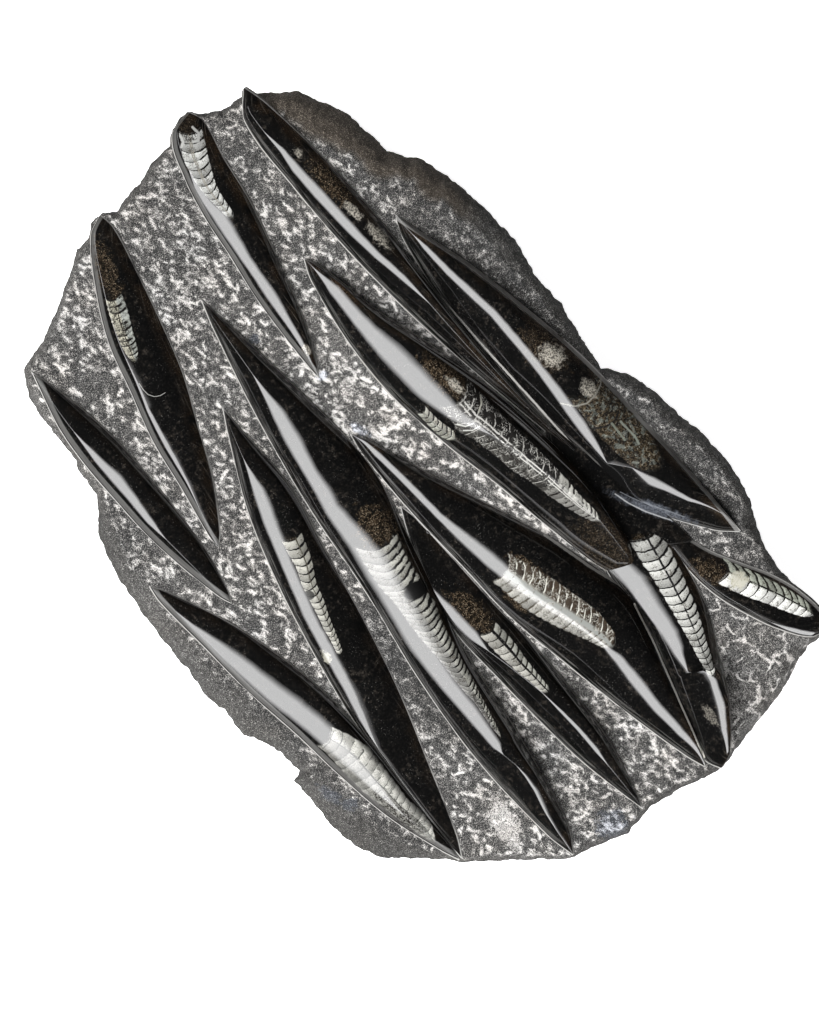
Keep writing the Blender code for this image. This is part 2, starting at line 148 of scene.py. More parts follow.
# A shell cut open by the polish, from its wide end to its tip: its two edges as plan points, the lengths of
# its first and last chamber in plan steps, how far the walls between chambers bow towards the tip (in
# chambers, at the left and right edge), the tube through them (place across from -1 to 1, half-width, colour,
# whether it is hollow), the colours of its left and right half and of its walls (one colour, or one for each
# half), a wall's half-thickness at the left and right edge (in chambers), and how much dirt darkens it.
Shell = namedtuple("Shell", "ridge left right first last bow tube halves walls thickness dirt")
SHELLS = (
    Shell("b", ((107, 301), (109, 310), (112, 320), (115, 329), (119, 338), (123, 348), (128, 356),
                (133, 362)),
          ((124, 300), (127, 307), (130, 316), (132, 325), (134, 334), (137, 343), (139, 351), (139, 360)),
          7, 4.5, (0.35, 0.45), (-0.1, 0.06, (0.02, 0.018, 0.015), False),
          ((0.22, 0.21, 0.17), (0.18, 0.187, 0.172)), (0.006, 0.0055, 0.005), (0.16, 0.3), 0.84),
    Shell("c", ((181, 140), (184, 160), (190, 172), (196, 183), (204, 193), (212, 201), (221, 209),
                (229, 218)),
          ((202, 131), (205, 142), (208, 155), (212, 170), (216, 184), (221, 195), (227, 205), (237, 220)),
          9.5, 7.5, (0.5, 0.5), (-0.15, 0.07, (0.13, 0.12, 0.1), True),
          ((0.23, 0.232, 0.222), (0.28, 0.282, 0.27)), (0.01, 0.01, 0.009), (0.07, 0.17), 0.3),
    Shell("e", ((576, 409), (593, 430), (611, 449), (631, 467), (651, 474)),
          ((601, 381), (617, 397), (636, 418), (651, 438), (662, 458)),
          22, 16, (0.5, 0.5), None, ((0.12, 0.095, 0.07), (0.1, 0.085, 0.07)), (0.01, 0.01, 0.01),
          (0.02, 0.05), 0.95),
    Shell("f", ((447, 417), (460, 433), (471, 438), (487, 450), (500, 460), (515, 473), (530, 482),
                (545, 493), (562, 505)),
          ((475, 388), (486, 400), (497, 412), (509, 424), (520, 435), (531, 444), (543, 457), (555, 470),
           (567, 484)),
          11, 7.5, (0.9, 1.3), (0.0, 0.11, (0.26, 0.255, 0.24), True),
          ((0.02, 0.019, 0.017), (0.007, 0.0065, 0.006)), (0.22, 0.215, 0.2), (0.06, 0.09), 0.85),
    Shell("f", ((551, 497), (562, 505), (578, 515), (590, 521), (597, 523)),
          ((558, 474), (567, 484), (579, 497), (591, 508), (599, 518)),
          7.5, 5, (0.7, 0.8), (0.0, 0.09, (0.26, 0.255, 0.24), True),
          ((0.1, 0.098, 0.09), (0.2, 0.197, 0.18)), (0.008, 0.007, 0.006), (0.2, 0.3), 0.82),
    Shell("f", ((419, 415), (429, 426), (436, 433), (443, 438), (450, 441), (455, 441)),
          ((428, 410), (436, 418), (443, 424), (449, 428), (454, 432), (457, 437)),
          6.5, 5.5, (0.6, 0.6), (0.0, 0.1, (0.1, 0.1, 0.09), False),
          ((0.16, 0.16, 0.14), (0.19, 0.185, 0.165)), (0.01, 0.01, 0.01), (0.12, 0.2), 0.3),
    Shell("g", ((362, 560), (378, 585), (390, 598), (400, 610), (412, 628), (425, 643), (440, 660),
                (455, 680), (465, 692), (475, 702), (488, 722), (499, 736)),
          ((398, 537), (404, 552), (412, 566), (420, 578), (425, 590), (434, 600), (440, 618), (447, 632),
           (455, 645), (462, 660), (470, 673), (476, 685), (482, 697), (492, 716), (501, 735)),
          8.2, 4.6, (1.6, 0.9), None, ((0.13, 0.128, 0.12), (0.19, 0.188, 0.168)), (0.004, 0.004, 0.004),
          (0.03, 0.3), 0.4),
    Shell("h", ((283, 540), (289, 552), (295, 562), (298, 570), (301, 580), (304, 587), (308, 596),
                (312, 603), (318, 615), (324, 628), (331, 640), (338, 655)),
          ((304, 540), (309, 552), (312, 560), (314, 570), (316, 580), (318, 588), (322, 595), (326, 605),
           (329, 615), (333, 625), (338, 637), (343, 652)),
          10, 4.5, (0.45, 0.5), (0.3, 0.06, (0.03, 0.027, 0.02), False),
          ((0.24, 0.235, 0.21), (0.15, 0.147, 0.13)), (0.005, 0.005, 0.005), (0.08, 0.22), 0.65),
    Shell("i", ((323, 749), (337, 763), (351, 779), (364, 792), (381, 805), (400, 820), (422, 836),
                (433, 843)),
          ((336, 728), (350, 734), (366, 744), (379, 761), (393, 779), (406, 797), (420, 809), (431, 823),
           (435, 839)),
          12, 6, (0.5, 0.4), (0.1, 0.05, (0.06, 0.06, 0.055), False),
          ((0.12, 0.118, 0.108), (0.27, 0.266, 0.245)), (0.05, 0.05, 0.046), (0.1, 0.05), 0.82),
    Shell("j", ((500, 586), (524, 608), (552, 624), (575, 634), (590, 641), (606, 650)),
          ((512, 556), (530, 565), (545, 574), (573, 593), (598, 612), (612, 630), (616, 641)),
          9, 6.5, (0.6, 1.0), (-0.1, 0.16, (0.15, 0.155, 0.145), False),
          ((0.18, 0.176, 0.16), (0.028, 0.021, 0.015)), ((0.03, 0.025, 0.018), (0.34, 0.335, 0.3)),
          (0.14, 0.09), 0.85),
    Shell("k", ((482, 637), (490, 646), (500, 656), (510, 665), (520, 674), (530, 681), (540, 690),
                (546, 694)),
          ((499, 626), (508, 635), (514, 642), (519, 649), (524, 657), (530, 664), (536, 672), (547, 686)),
          9.5, 6, (0.5, 0.5), (0.2, 0.14, (0.004, 0.004, 0.004), False),
          ((0.21, 0.205, 0.185), (0.19, 0.19, 0.17)), (0.01, 0.01, 0.008), (0.06, 0.2), 0.4),
    Shell("l", ((632, 546), (640, 560), (650, 575), (658, 588), (664, 598), (671, 610), (678, 623),
                (686, 637), (694, 652), (703, 668), (706, 676)),
          ((661, 531), (668, 545), (675, 560), (681, 572), (688, 590), (694, 602), (700, 622), (705, 640),
           (710, 655), (713, 674)),
          12, 5.5, (0.45, 0.55), (0.05, 0.07, (0.012, 0.012, 0.012), False),
          ((0.3, 0.3, 0.282), (0.31, 0.31, 0.29)), (0.005, 0.005, 0.005), (0.09, 0.2), 0.45),
    Shell("m", ((724, 586), (740, 594), (750, 598), (760, 601), (775, 607), (790, 613), (803, 617),
                (811, 617)),
          ((731, 562), (747, 569), (768, 579), (789, 590), (802, 598), (808, 603), (813, 612)),
          12, 7, (0.45, 1.1), (0.2, 0.07, (0.008, 0.008, 0.007), False),
          ((0.44, 0.44, 0.42), (0.19, 0.2, 0.17)), (0.01, 0.01, 0.008), (0.05, 0.24), 0.4),
)

# Grains and stains in a ridge's polish, and strips of painted sheen, a painted reflection: middle,
# half-length, half-width and turn on the plan (steps, degrees clockwise from the plan's x), kind and
# strength.
Stain = namedtuple("Stain", "ridge middle half_length half_width turn kind strength")
STAINS = (
    Stain("b", (108, 272), 34, 11, 70, "grains", 0.8),
    Stain("c", (187, 126), 17, 12, 60, "grains", 0.4),
    Stain("c", (192, 137), 13, 8, -20, "pits", 0.9),
    Stain("c", (307, 350), 6, 4, 60, "crystal", 0.8),
    Stain("d", (331, 184), 32, 12, 48, "grains", 0.9),
    Stain("d", (353, 212), 11, 6, 40, "crystal", 0.7),
    Stain("d", (379, 237), 17, 7, 50, "crystal", 0.6),
    Stain("d", (299, 154), 6, 4, 50, "crystal", 0.5),
    Stain("e", (551, 356), 14, 12, 40, "crystal", 0.8),
    Stain("e", (545, 348), 30, 22, 45, "grains", 0.6),
    Stain("e", (588, 389), 11, 8, 60, "crystal", 0.7),
    Stain("f", (445, 376), 32, 15, 42, "grains", 1.0),
    Stain("f", (455, 386), 12, 5, 40, "crystal", 0.8),
    Stain("f", (605, 548), 40, 24, 40, "grains", 0.4),
    Stain("e", (618, 479), 34, 7, 50, "black", 1.0),
    # painted sheen: a bluish grey reflection painted along e's lower-left foot and the saddle beside it
    Stain("e", (655, 508), 46, 5, 21, "sheen", 0.8),
    Stain("n", (650, 509), 46, 5, 21, "sheen", 0.8),
    Stain("i", (400, 813), 34, 9, 40, "pits", 0.9),
    Stain("i", (350, 765), 22, 12, 45, "pits", 0.3),
    Stain("b", (123, 330), 36, 8, 68, "pits", 0.9),
    Stain("g", (484, 711), 28, 8, 62, "pits", 0.8),
    Stain("j", (585, 640), 30, 6, 35, "pits", 0.6),
    Stain("f", (500, 446), 30, 7, 42, "pits", 0.9),
    Stain("g", (377, 528), 26, 23, 50, "grains", 0.95),
    Stain("h", (293, 545), 10, 6, 60, "grains", 0.9),
    Stain("h", (308, 586), 5, 5, 0, "grains", 0.9),
    Stain("j", (524, 566), 20, 9, 35, "grains", 0.9),
    Stain("j", (517, 598), 20, 9, 40, "grains", 0.9),
    Stain("k", (472, 612), 32, 13, 42, "grains", 1.0),
    Stain("l", (709, 715), 12, 5, 55, "crystal", 0.3),
    Stain("l", (641, 541), 12, 6, 30, "grains", 0.9),
    Stain("m", (712, 573), 24, 11, 25, "grains", 1.0),
    Stain("m", (738, 580), 10, 10, 0, "calcite", 0.9),
    Stain("g", (416, 590), 13, 9, -30, "black", 1.0),
    Stain("h", (327, 657), 9, 4, 60, "calcite", 0.5),
    Stain("h", (309, 595), 6, 5, 0, "black", 0.9),
    Stain("e", (617, 494), 5, 4, 30, "crystal", 0.9),
)

# Thin pale or dark lines in the polish, among them painted highlights and painted sheen: the ridges they may
# show on, their points on the plan, half-width in plan steps, colour and strength.
Stroke = namedtuple("Stroke", "ridges points half_width tone strength")
STROKES = (
    Stroke("b", ((140, 384), (144, 390), (149, 395), (155, 397), (161, 396), (166, 393)), 0.4,
           (0.2, 0.2, 0.19), 0.8),
    Stroke("c", ((181, 137), (184, 143), (182, 148)), 1.4, (0.25, 0.25, 0.24), 0.9),
    Stroke("c", ((193, 128), (199, 134), (199, 142), (194, 143)), 1.3, (0.25, 0.25, 0.24), 0.9),
    Stroke("e", ((560, 404), (574, 407), (586, 404), (594, 396), (600, 385), (601, 377)), 0.8,
           (0.13, 0.125, 0.11), 0.85),
    Stroke("e", ((593, 429), (605, 427), (614, 421), (618, 412)), 0.9, (0.008, 0.008, 0.008), 0.9),
    Stroke("e", ((620, 422), (634, 436), (638, 444)), 1.2, (0.13, 0.14, 0.12), 0.9),
    Stroke("e", ((611, 424), (624, 440)), 1.2, (0.11, 0.12, 0.1), 0.8),
    # pale line where e rises from d: a painted edge highlight at e's left foot
    Stroke("de", ((429, 284), (480, 343), (530, 398), (573, 446), (613, 482)), 1.0, (0.2, 0.195, 0.185),
           0.9),
    Stroke("de", ((470, 343), (515, 392), (548, 424)), 0.7, (0.12, 0.115, 0.105), 0.8),
    # pale line where l rises from j: a painted edge highlight at l's left foot
    Stroke("jl", ((634, 604), (656, 648), (680, 704), (704, 757)), 1.0, (0.62, 0.6, 0.55), 1.0),
    # painted highlight: a bright line along j's right foot where f rises
    Stroke("fj", ((545, 535), (566, 550), (592, 568), (628, 590)), 1.5, (0.26, 0.255, 0.24), 0.9),
    Stroke("h", ((345, 712), (355, 725), (366, 740)), 1.1, (0.22, 0.215, 0.2), 0.9),
    Stroke("f", ((478, 413), (481, 404), (480, 396)), 0.9, (0.2, 0.195, 0.17), 0.9),
    Stroke("f", ((457, 425), (465, 427), (473, 424)), 0.7, (0.3, 0.3, 0.28), 0.8),
    Stroke("f", ((463, 431), (472, 431), (479, 427)), 0.7, (0.3, 0.3, 0.28), 0.8),
    # painted sheen on e's lower-left foot: a bluish reflection line, then a painted highlight along its edge
    Stroke("en", ((620, 492), (634, 499), (650, 505), (668, 511), (684, 517)), 0.5, (0.13, 0.138, 0.15),
           0.5),
    Stroke("en", ((615, 494), (628, 503), (644, 511), (661, 517), (680, 523), (700, 527)), 0.7,
           (0.24, 0.245, 0.25), 0.8),
    Stroke("i", ((323, 748), (330, 741), (334, 730)), 0.6, (0.02, 0.02, 0.02), 0.8),
)


# ---------------------------------------------------------------- camera and softbox

CAMERA_AIM = (409.5, 512.0)  # plan point under the camera
CAMERA_HEIGHT = 1.56
FRAME_LONG_SIDE = 1024 * PLAN_UNIT  # what the image's long side spans at the height of the ground

# The long softbox: in the XZ plane, the directions of its two long edges from the vertical, towards -X.
SOFTBOX_NEAR = math.radians(16)
SOFTBOX_FAR = math.radians(54)
# The softbox fades towards its long edges: brightness of each strip of it, from near to far, and its width.
SOFTBOX_STRIPS = ((0.1, 2.0), (0.24, 2.0), (0.42, 2.0), (0.62, 2.0), (0.82, 2.0), (1.0, 22.0), (0.75, 2.0),
                  (0.45, 2.0), (0.2, 2.0))
SOFTBOX_REACH = 2.2
SOFTBOX_LENGTH = 6.0
SOFTBOX_GLOW = 42.0  # watts for each square metre
ROOM_FILL = (0.16, 0.16, 0.16)  # light of the room on matt surfaces
ROOM_MIRRORED = (0.03, 0.03, 0.03)  # the same room as the polish shows it
FLOOR_GLOW = 0.9  # washes the floor's shadows out
FLOOR_REACH = 12.0
SENSOR_HEIGHT = 36.0  # of the camera, in millimetres


def turned(points):
    """Plan points to metres, turned on to the slab's axes but not yet centred."""
    points = np.asarray(points, float)
    right, up = points[..., 0] * PLAN_UNIT, -points[..., 1] * PLAN_UNIT
    cos_turn, sin_turn = math.cos(PLAN_TURN), math.sin(PLAN_TURN)
    return np.stack([right * cos_turn + up * sin_turn, up * cos_turn - right * sin_turn], -1)


def outline_middle():
    """Middle of the outline's bounding rectangle on the slab's axes."""
    points = turned([p[:2] for p in OUTLINE])
    return (points.min(0) + points.max(0)) / 2


MIDDLE = outline_middle()


def plan(points):
    """Plan points to the slab's own X and Y, in metres."""
    return turned(points) - MIDDLE


def smooth_line(x, knots, values):
    """Smooth curve through (knots, values), level beyond its two ends."""
    knots, values = np.asarray(knots, float), np.asarray(values, float)
    last = len(knots) - 1
    before, after = np.maximum(np.arange(last + 1) - 1, 0), np.minimum(np.arange(last + 1) + 1, last)
    slopes = (values[after] - values[before]) / (knots[after] - knots[before])
    x = np.clip(x, knots[0], knots[-1])
    span = np.clip(np.searchsorted(knots, x, side="right") - 1, 0, last - 1)
    width = knots[span + 1] - knots[span]
    t = (x - knots[span]) / width
    start = (2 * t**3 - 3 * t**2 + 1) * values[span] + (t**3 - 2 * t**2 + t) * width * slopes[span]
    return start + (3 * t**2 - 2 * t**3) * values[span + 1] + (t**3 - t**2) * width * slopes[span + 1]


def rock_noise(points, size, octaves=3, seed=0.0):
    """Fractal noise of about -1 to 1 at each point, with features of the given size."""
    scaled = np.asarray(points) / size + seed
    return np.array([noise.fractal(Vector(p), 1.0, 2.0, octaves) for p in scaled.tolist()])


def attribute(piece, name, values):
    """Stores one number for each vertex under that name."""
    layer = piece.data.attributes.new(name, "FLOAT", "POINT")
    layer.data.foreach_set("value", np.asarray(values, np.float32))


def link_mesh(name, points, faces, corners, material):
    """Mesh object that stands for the CAD plate; corners are its texture coordinates, face by face."""
    data = bpy.data.meshes.new(name)
    data.from_pydata(points.tolist(), [], faces)
    data.materials.append(material)
    layer = data.uv_layers.new(name="OFBake")
    layer.data.foreach_set("uv", np.asarray(corners, np.float32).ravel())
    data.validate()
    data.shade_smooth()
    made = bpy.data.objects.new(name, data)
    bpy.context.scene.collection.objects.link(made)
    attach(made, "root")
    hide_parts(PLATE)
    return made


# ---------------------------------------------------------------- ridges

RIDGE_ROWS = 220
FLANK_COLUMNS = 14  # left foot to the band
BAND_COLUMNS = 16  # across the band
BACK_COLUMNS = 22  # from the band to the right foot
SKIRT_DROP = 3.0 * MM  # how far the ridge's mesh goes on below the ground
SKIRT_SPREAD = 1.0 * MM
RIDGE_ROOT = 8.0 * MM  # depth of the mesh's underside below the ground
SADDLE_RISE = 1.0 * MM
CREST_SHARE = 0.3  # how far from the band to the right foot the crest lies
THINNEST_BAND = 0.003  # as a share of the ridge's width
END_GAP = 0.004  # share of the length left off at each end


def softbox_edge(direction):
    """X and Z of a long edge of the softbox, from its direction off the vertical."""
    middle = (SOFTBOX_NEAR + SOFTBOX_FAR) / 2
    reach = SOFTBOX_REACH / math.cos(direction - middle)
    return -reach * math.sin(direction), GROUND + reach * math.cos(direction)


def mirror_lean(x, direction):
    """Lean towards -X at which a face at x mirrors a long edge of the softbox into the camera."""
    edge_x, edge_z = softbox_edge(direction)
    to_edge = np.arctan2(x - edge_x, edge_z - GROUND)
    to_camera = np.arctan2(x - plan(CAMERA_AIM)[0], CAMERA_HEIGHT - GROUND)
    return (to_edge + to_camera) / 2


def band_lean(x, direction, leftward):
    """The same lean for a flank that faces askew, along the unit vector leftward."""
    return 0.5 * math.atan(math.tan(2 * mirror_lean(x, direction)) / abs(leftward[0])) % (math.pi / 2)


def ridge_frame(ridge):
    """Tip, whole length as a vector, and unit vector towards the left foot."""
    tip, end = plan(ridge.tip), plan(ridge.end)
    along = end - tip
    unit = along / np.linalg.norm(along)
    return tip, along, np.array([unit[1], -unit[0]])


def ridge_widths(ridge, share):
    """Signed distances of the left and right foot from the line between the ridge's ends."""
    knots = (0.0, *STATIONS, 1.0)
    left = smooth_line(share, knots, (0.0, *ridge.left, 0.0)) * MM
    right = -smooth_line(share, knots, (0.0, *ridge.right, 0.0)) * MM
    return left, right


def foot_lean(ridge, share):
    """Lean of the left flank at its foot, in radians."""
    if isinstance(ridge.foot, tuple):
        return math.radians(np.interp(share, [f[0] for f in ridge.foot], [f[1] for f in ridge.foot]))
    return math.radians(ridge.foot)


def ridge_columns(start, stop):
    """Places across a ridge, 0 to 1, with whole columns on the two edges of the band."""
    flank = start * np.linspace(0, 1, FLANK_COLUMNS, endpoint=False)
    band = start + (stop - start) * np.linspace(0, 1, BAND_COLUMNS, endpoint=False)
    back = stop + (1 - stop) * (1 - (1 - np.linspace(0, 1, BACK_COLUMNS)) ** 1.25)
    return np.concatenate([flank, band, back])


def cumulative(values, places):
    """Running integral by the trapezium rule."""
    steps = (values[1:] + values[:-1]) / 2 * np.diff(places)
    return np.concatenate([[0.0], np.cumsum(steps)])


def saddle_heights(across, width):
    """Heights of the low polished saddle: a flat bulge just above the ground."""
    return SADDLE_RISE + width * math.tan(foot_lean(SADDLE, 0)) * across * (1 - across)


def ridge_heights(across, width, start, stop, foot, far_lean, near_lean):
    """Height over the ground at each place across: the lean is set, and the right flank closes it."""
    crest = stop + (1 - stop) * CREST_SHARE
    flank = far_lean + (foot - far_lean) * (1 - across / start)
    band = far_lean + (near_lean - far_lean) * (across - start) / (stop - start)
    top = near_lean * (crest - across) / (crest - stop)
    lean = np.where(across < start, flank, np.where(across < stop, band, np.maximum(top, 0)))
    rise = cumulative(np.tan(lean), across)
    away = np.maximum(across - crest, 0) / (1 - crest)
    fall = cumulative(away**1.3, across)
    return width * (rise - fall * rise[-1] / fall[-1])


def ridge_band(ridge, shares, length):
    """Where the mirroring band starts and stops at each share, a little wavy."""
    knots, starts, stops = zip(*ridge.band)
    starts, stops = np.interp(shares, knots, starts), np.interp(shares, knots, stops)
    width = stops - starts
    places = np.column_stack([shares * length, np.full((len(shares), 2), ord(ridge.name) * MM * 40)])
    starts = starts + np.clip(width, 0, 0.1) * 0.06 * rock_noise(places, 9 * MM, 2, 0.3)
    stops = stops + np.clip(width, 0, 0.15) * 0.09 * rock_noise(places, 6 * MM, 2, 0.7)
    return starts, np.maximum(stops, starts + THINNEST_BAND)


def ridge_profile(ridge, share, x, leftward, width, start, stop):
    """Places across the ridge at one share of its length, 0 to 1, and the heights over the ground there."""
    across = ridge_columns(start, stop)
    if ridge is SADDLE:
        return across, saddle_heights(across, width)
    leans = [band_lean(x, direction, leftward) for direction in (SOFTBOX_FAR, SOFTBOX_NEAR)]
    return across, ridge_heights(across, width, start, stop, foot_lean(ridge, share), *leans)


def closed_section(place, heights, leftward):
    """A cross-section's points in a ring: the flanks, then a skirt on either side and the underside."""
    outer_left, outer_right = place[0] + leftward * SKIRT_SPREAD, place[-1] - leftward * SKIRT_SPREAD
    skirt, root = GROUND - SKIRT_DROP, GROUND - RIDGE_ROOT
    below = ((*outer_right, skirt), (*outer_right, root), (*outer_left, root))
    return np.vstack([(*outer_left, skirt), np.column_stack([place, GROUND + heights]), *below])


def section_faces(size):
    """Faces between a ridge's cross-sections, its two end caps, and the texture coordinates of them all."""
    faces, corners = [], []
    for row in range(RIDGE_ROWS - 1):
        a, b = row * size, (row + 1) * size
        u0, u1 = (0.02 + 0.96 * line / (RIDGE_ROWS - 1) for line in (row, row + 1))
        for i in range(size):
            j = (i + 1) % size
            v0, v1 = i / size, (i + 1) / size
            faces.append((a + i, a + j, b + j, b + i))
            corners.extend(((u0, v0), (u0, v1), (u1, v1), (u1, v0)))
    last = (RIDGE_ROWS - 1) * size
    for cap, first, u in ((range(size - 1, -1, -1), 0, 0.01), (range(size), last, 0.99)):
        faces.append(tuple(first + i for i in cap))
        corners.extend((u, i / size) for i in cap)
    return faces, corners


def build_ridge(ridge):
    """One polished ridge as a closed mesh that goes down into the slab."""
    tip, along, leftward = ridge_frame(ridge)
    length = np.linalg.norm(along)
    shares = END_GAP + (1 - 2 * END_GAP) * (0.5 - 0.5 * np.cos(np.pi * np.linspace(0, 1, RIDGE_ROWS)))
    feet, bands = ridge_widths(ridge, shares), ridge_band(ridge, shares, length)
    sections, from_left, from_right = [], [], []
    for share, left, right, start, stop in zip(shares, *feet, *bands):
        centre, width = tip + along * share, left - right
        across, heights = ridge_profile(ridge, share, centre[0], leftward, width, start, stop)
        place = centre + leftward * (left - width * across)[:, None]
        sections.append(closed_section(place, heights, leftward))
        places = np.concatenate([[-0.1], across, [1.1, 1.1, -0.1]]) * width / MM
        from_left.append(places)
        from_right.append(width / MM - places)
    points, size = np.vstack(sections), len(sections[0])
    made = link_mesh("ridge_" + ridge.name, points, *section_faces(size), ridge_material(ridge))
    attribute(made, "from_left", np.concatenate(from_left))
    attribute(made, "from_right", np.concatenate(from_right))
    attribute(made, "along", np.repeat(shares, size) * length / MM)
    for number, shell in enumerate(SHELLS):
        if shell.ridge == ridge.name:
            across, chamber = shell_places(shell, points[:, :2])
            attribute(made, f"shell_{number}_across", across)
            attribute(made, f"shell_{number}_along", chamber)


# ---------------------------------------------------------------- node trees


class Shading:
    """A material's node tree, with one short call for each node."""

    def __init__(self, name):
        self.material = bpy.data.materials.new(name)
        self.material.use_nodes = True
        self.nodes = self.material.node_tree.nodes
        self.links = self.material.node_tree.links
        self.shader = self.nodes["Principled BSDF"]

    def add(self, kind, *inputs, output=0, **settings):
        """New node with its first inputs plugged in or set; returns one output socket."""
        node = self.nodes.new("ShaderNode" + kind)
        for key, value in settings.items():
            setattr(node, key, value)
        for socket, value in zip(node.inputs, inputs):
            self.feed(socket, value)
        return node.outputs[output]

    def feed(self, socket, value):
        """Plugs a socket or a plain value into an input; None leaves it as it is."""
        if isinstance(value, bpy.types.NodeSocket):
            self.links.new(value, socket)
        elif value is not None:
            socket.default_value = value

    def math(self, operation, first, *others):
        """One operation over all the inputs, from left to right."""
        for other in others or (None,):
            first = self.add("Math", first, other, operation=operation)
        return first

    def plus(self, *inputs):
        return self.math("ADD", *inputs)

    def minus(self, value, taken):
        return self.math("SUBTRACT", value, taken)

    def times(self, *inputs):
        return self.math("MULTIPLY", *inputs)

    def most(self, *inputs):
        return self.math("MAXIMUM", *inputs)

    def rest(self, share):
        """What a share leaves of the whole."""
        return self.minus(1.0, share)

    def vector(self, operation, *inputs, output=0):
        return self.add("VectorMath", *inputs, operation=operation, output=output)

    def value(self, name):
        """A number stored on the mesh."""
        return self.add("Attribute", attribute_name=name, output=2)

    def place(self):
        """Position in metres in the part's own frame."""
        return self.add("TexCoord", output=3)

    def noise(self, size, detail=3.0, roughness=0.55, where=None, distortion=0.0, output="Fac"):
        """Noise with features of the given size in metres."""
        node = self.nodes.new("ShaderNodeTexNoise")
        self.feed(node.inputs["Vector"], where or self.place())
        node.inputs["Scale"].default_value = 1 / size
        node.inputs["Detail"].default_value = detail
        node.inputs["Roughness"].default_value = roughness
        node.inputs["Distortion"].default_value = distortion
        return node.outputs[output]

    def swing(self, size, detail, roughness):
        """Noise that swings about zero."""
        return self.minus(self.noise(size, detail, roughness), 0.5)

    def ramp(self, value, low, high, to_low=0.0, to_high=1.0):
        """Smooth step of value from low to high, between to_low and to_high."""
        return self.add("MapRange", value, low, high, to_low, to_high, interpolation_type="SMOOTHSTEP")

    def blend(self, factor, low, high):
        """Colour mix; a colour is a socket or three numbers."""
        node = self.nodes.new("ShaderNodeMix")
        node.data_type = "RGBA"
        low, high = (c if isinstance(c, bpy.types.NodeSocket) else (*c, 1.0) for c in (low, high))
        for socket, given in zip((node.inputs[0], node.inputs[6], node.inputs[7]), (factor, low, high)):
            self.feed(socket, given)
        return node.outputs[2]

    def tint(self, colour, amount):
        """Colour made darker or lighter by a number."""
        return self.vector("MULTIPLY", colour, self.add("CombineXYZ", amount, amount, amount))

    def seen_from(self, location, turn, scale=(1, 1, 1)):
        """Position as counted from a place of its own, turned about the vertical and scaled."""
        node = self.nodes.new("ShaderNodeMapping")
        node.vector_type = "TEXTURE"
        self.feed(node.inputs["Vector"], self.place())
        node.inputs["Location"].default_value = location
        node.inputs["Rotation"].default_value = (0, 0, turn)
        node.inputs["Scale"].default_value = scale
        return node.outputs[0]

    def flat_length(self, vector):
        """Length of a vector's shadow on the slab."""
        return self.vector("LENGTH", self.vector("MULTIPLY", vector, (1, 1, 0)), output=1)

    def spot(self, middle, half_length, half_width, turn):
        """Distance from an ellipse's middle, 1 on its rim; given in plan points, steps and degrees."""
        scale = (half_length * PLAN_UNIT, half_width * PLAN_UNIT, 1)
        turn = -math.radians(turn) - PLAN_TURN
        return self.flat_length(self.seen_from((*plan(middle), GROUND), turn, scale))

    def from_segment(self, start, stop):
        """Distance in metres, on the plan, from the segment between two plan points."""
        (x0, y0), (x1, y1) = plan(start), plan(stop)
        middle = ((x0 + x1) / 2, (y0 + y1) / 2, GROUND)
        aside = self.vector("ABSOLUTE", self.seen_from(middle, math.atan2(y1 - y0, x1 - x0)))
        beyond = self.vector("SUBTRACT", aside, (math.hypot(x1 - x0, y1 - y0) / 2, 0, 0))
        return self.flat_length(self.vector("MAXIMUM", beyond, (0, 0, 0)))

    def finish(self, colour, roughness, height, depth, specular=0.5):
        """Plugs in colour, roughness and a bump of the given depth."""
        self.feed(self.shader.inputs["Base Color"], colour)
        self.feed(self.shader.inputs["Roughness"], roughness)
        self.shader.inputs["Specular IOR Level"].default_value = specular
        bump = self.nodes.new("ShaderNodeBump")
        bump.inputs["Distance"].default_value = depth
        self.feed(bump.inputs["Height"], height)
        self.feed(self.shader.inputs["Normal"], bump.outputs[0])
        return self.material


# ---------------------------------------------------------------- material of the ground

FLECK_TURN = 0.6  # which way most chisel pecks run, in radians clockwise from the plan's x

# Patches of the ground: middle on the plan, half-length, half-width, turn.
CALM_PATCH = ((770, 668), 95, 60, 70)  # where the bruises are weak
CALCITE_PATCH = ((504, 823), 26, 14, 62)
NODULE = ((282, 222), 6, 4.5, 20)
BROWN_PATCH = ((360, 130), 140, 75, 38)
VEINED_PATCHES = (((755, 660), 85, 65, 70), ((586, 788), 30, 24, 0))
VEINS_FULL = (0.8, 0.7)  # how far out in each of them, 1 on its rim, the veins are at their full strength
BLUE_TURN = 30  # degrees, the same for every blue spot
BLUE_SPOTS = (((322, 375), 8, 6), ((360, 430), 14, 5), ((254, 339), 6, 6), ((88, 550), 14, 12),
              ((612, 825), 18, 18), ((330, 795), 14, 7), ((350, 805), 8, 8))

# Darkest and palest tones of the ground.
CHISELLED_DARK, RIM_DARK = (0.008, 0.008, 0.008), (0.014, 0.0135, 0.0125)
WARM_BRUISE, COOL_BRUISE = (0.46, 0.425, 0.39), (0.44, 0.44, 0.435)
BROWN_TONES = ((0.02, 0.016, 0.012), (0.3, 0.255, 0.21))
BLUE_TONES = ((0.02, 0.025, 0.035), (0.3, 0.36, 0.48))


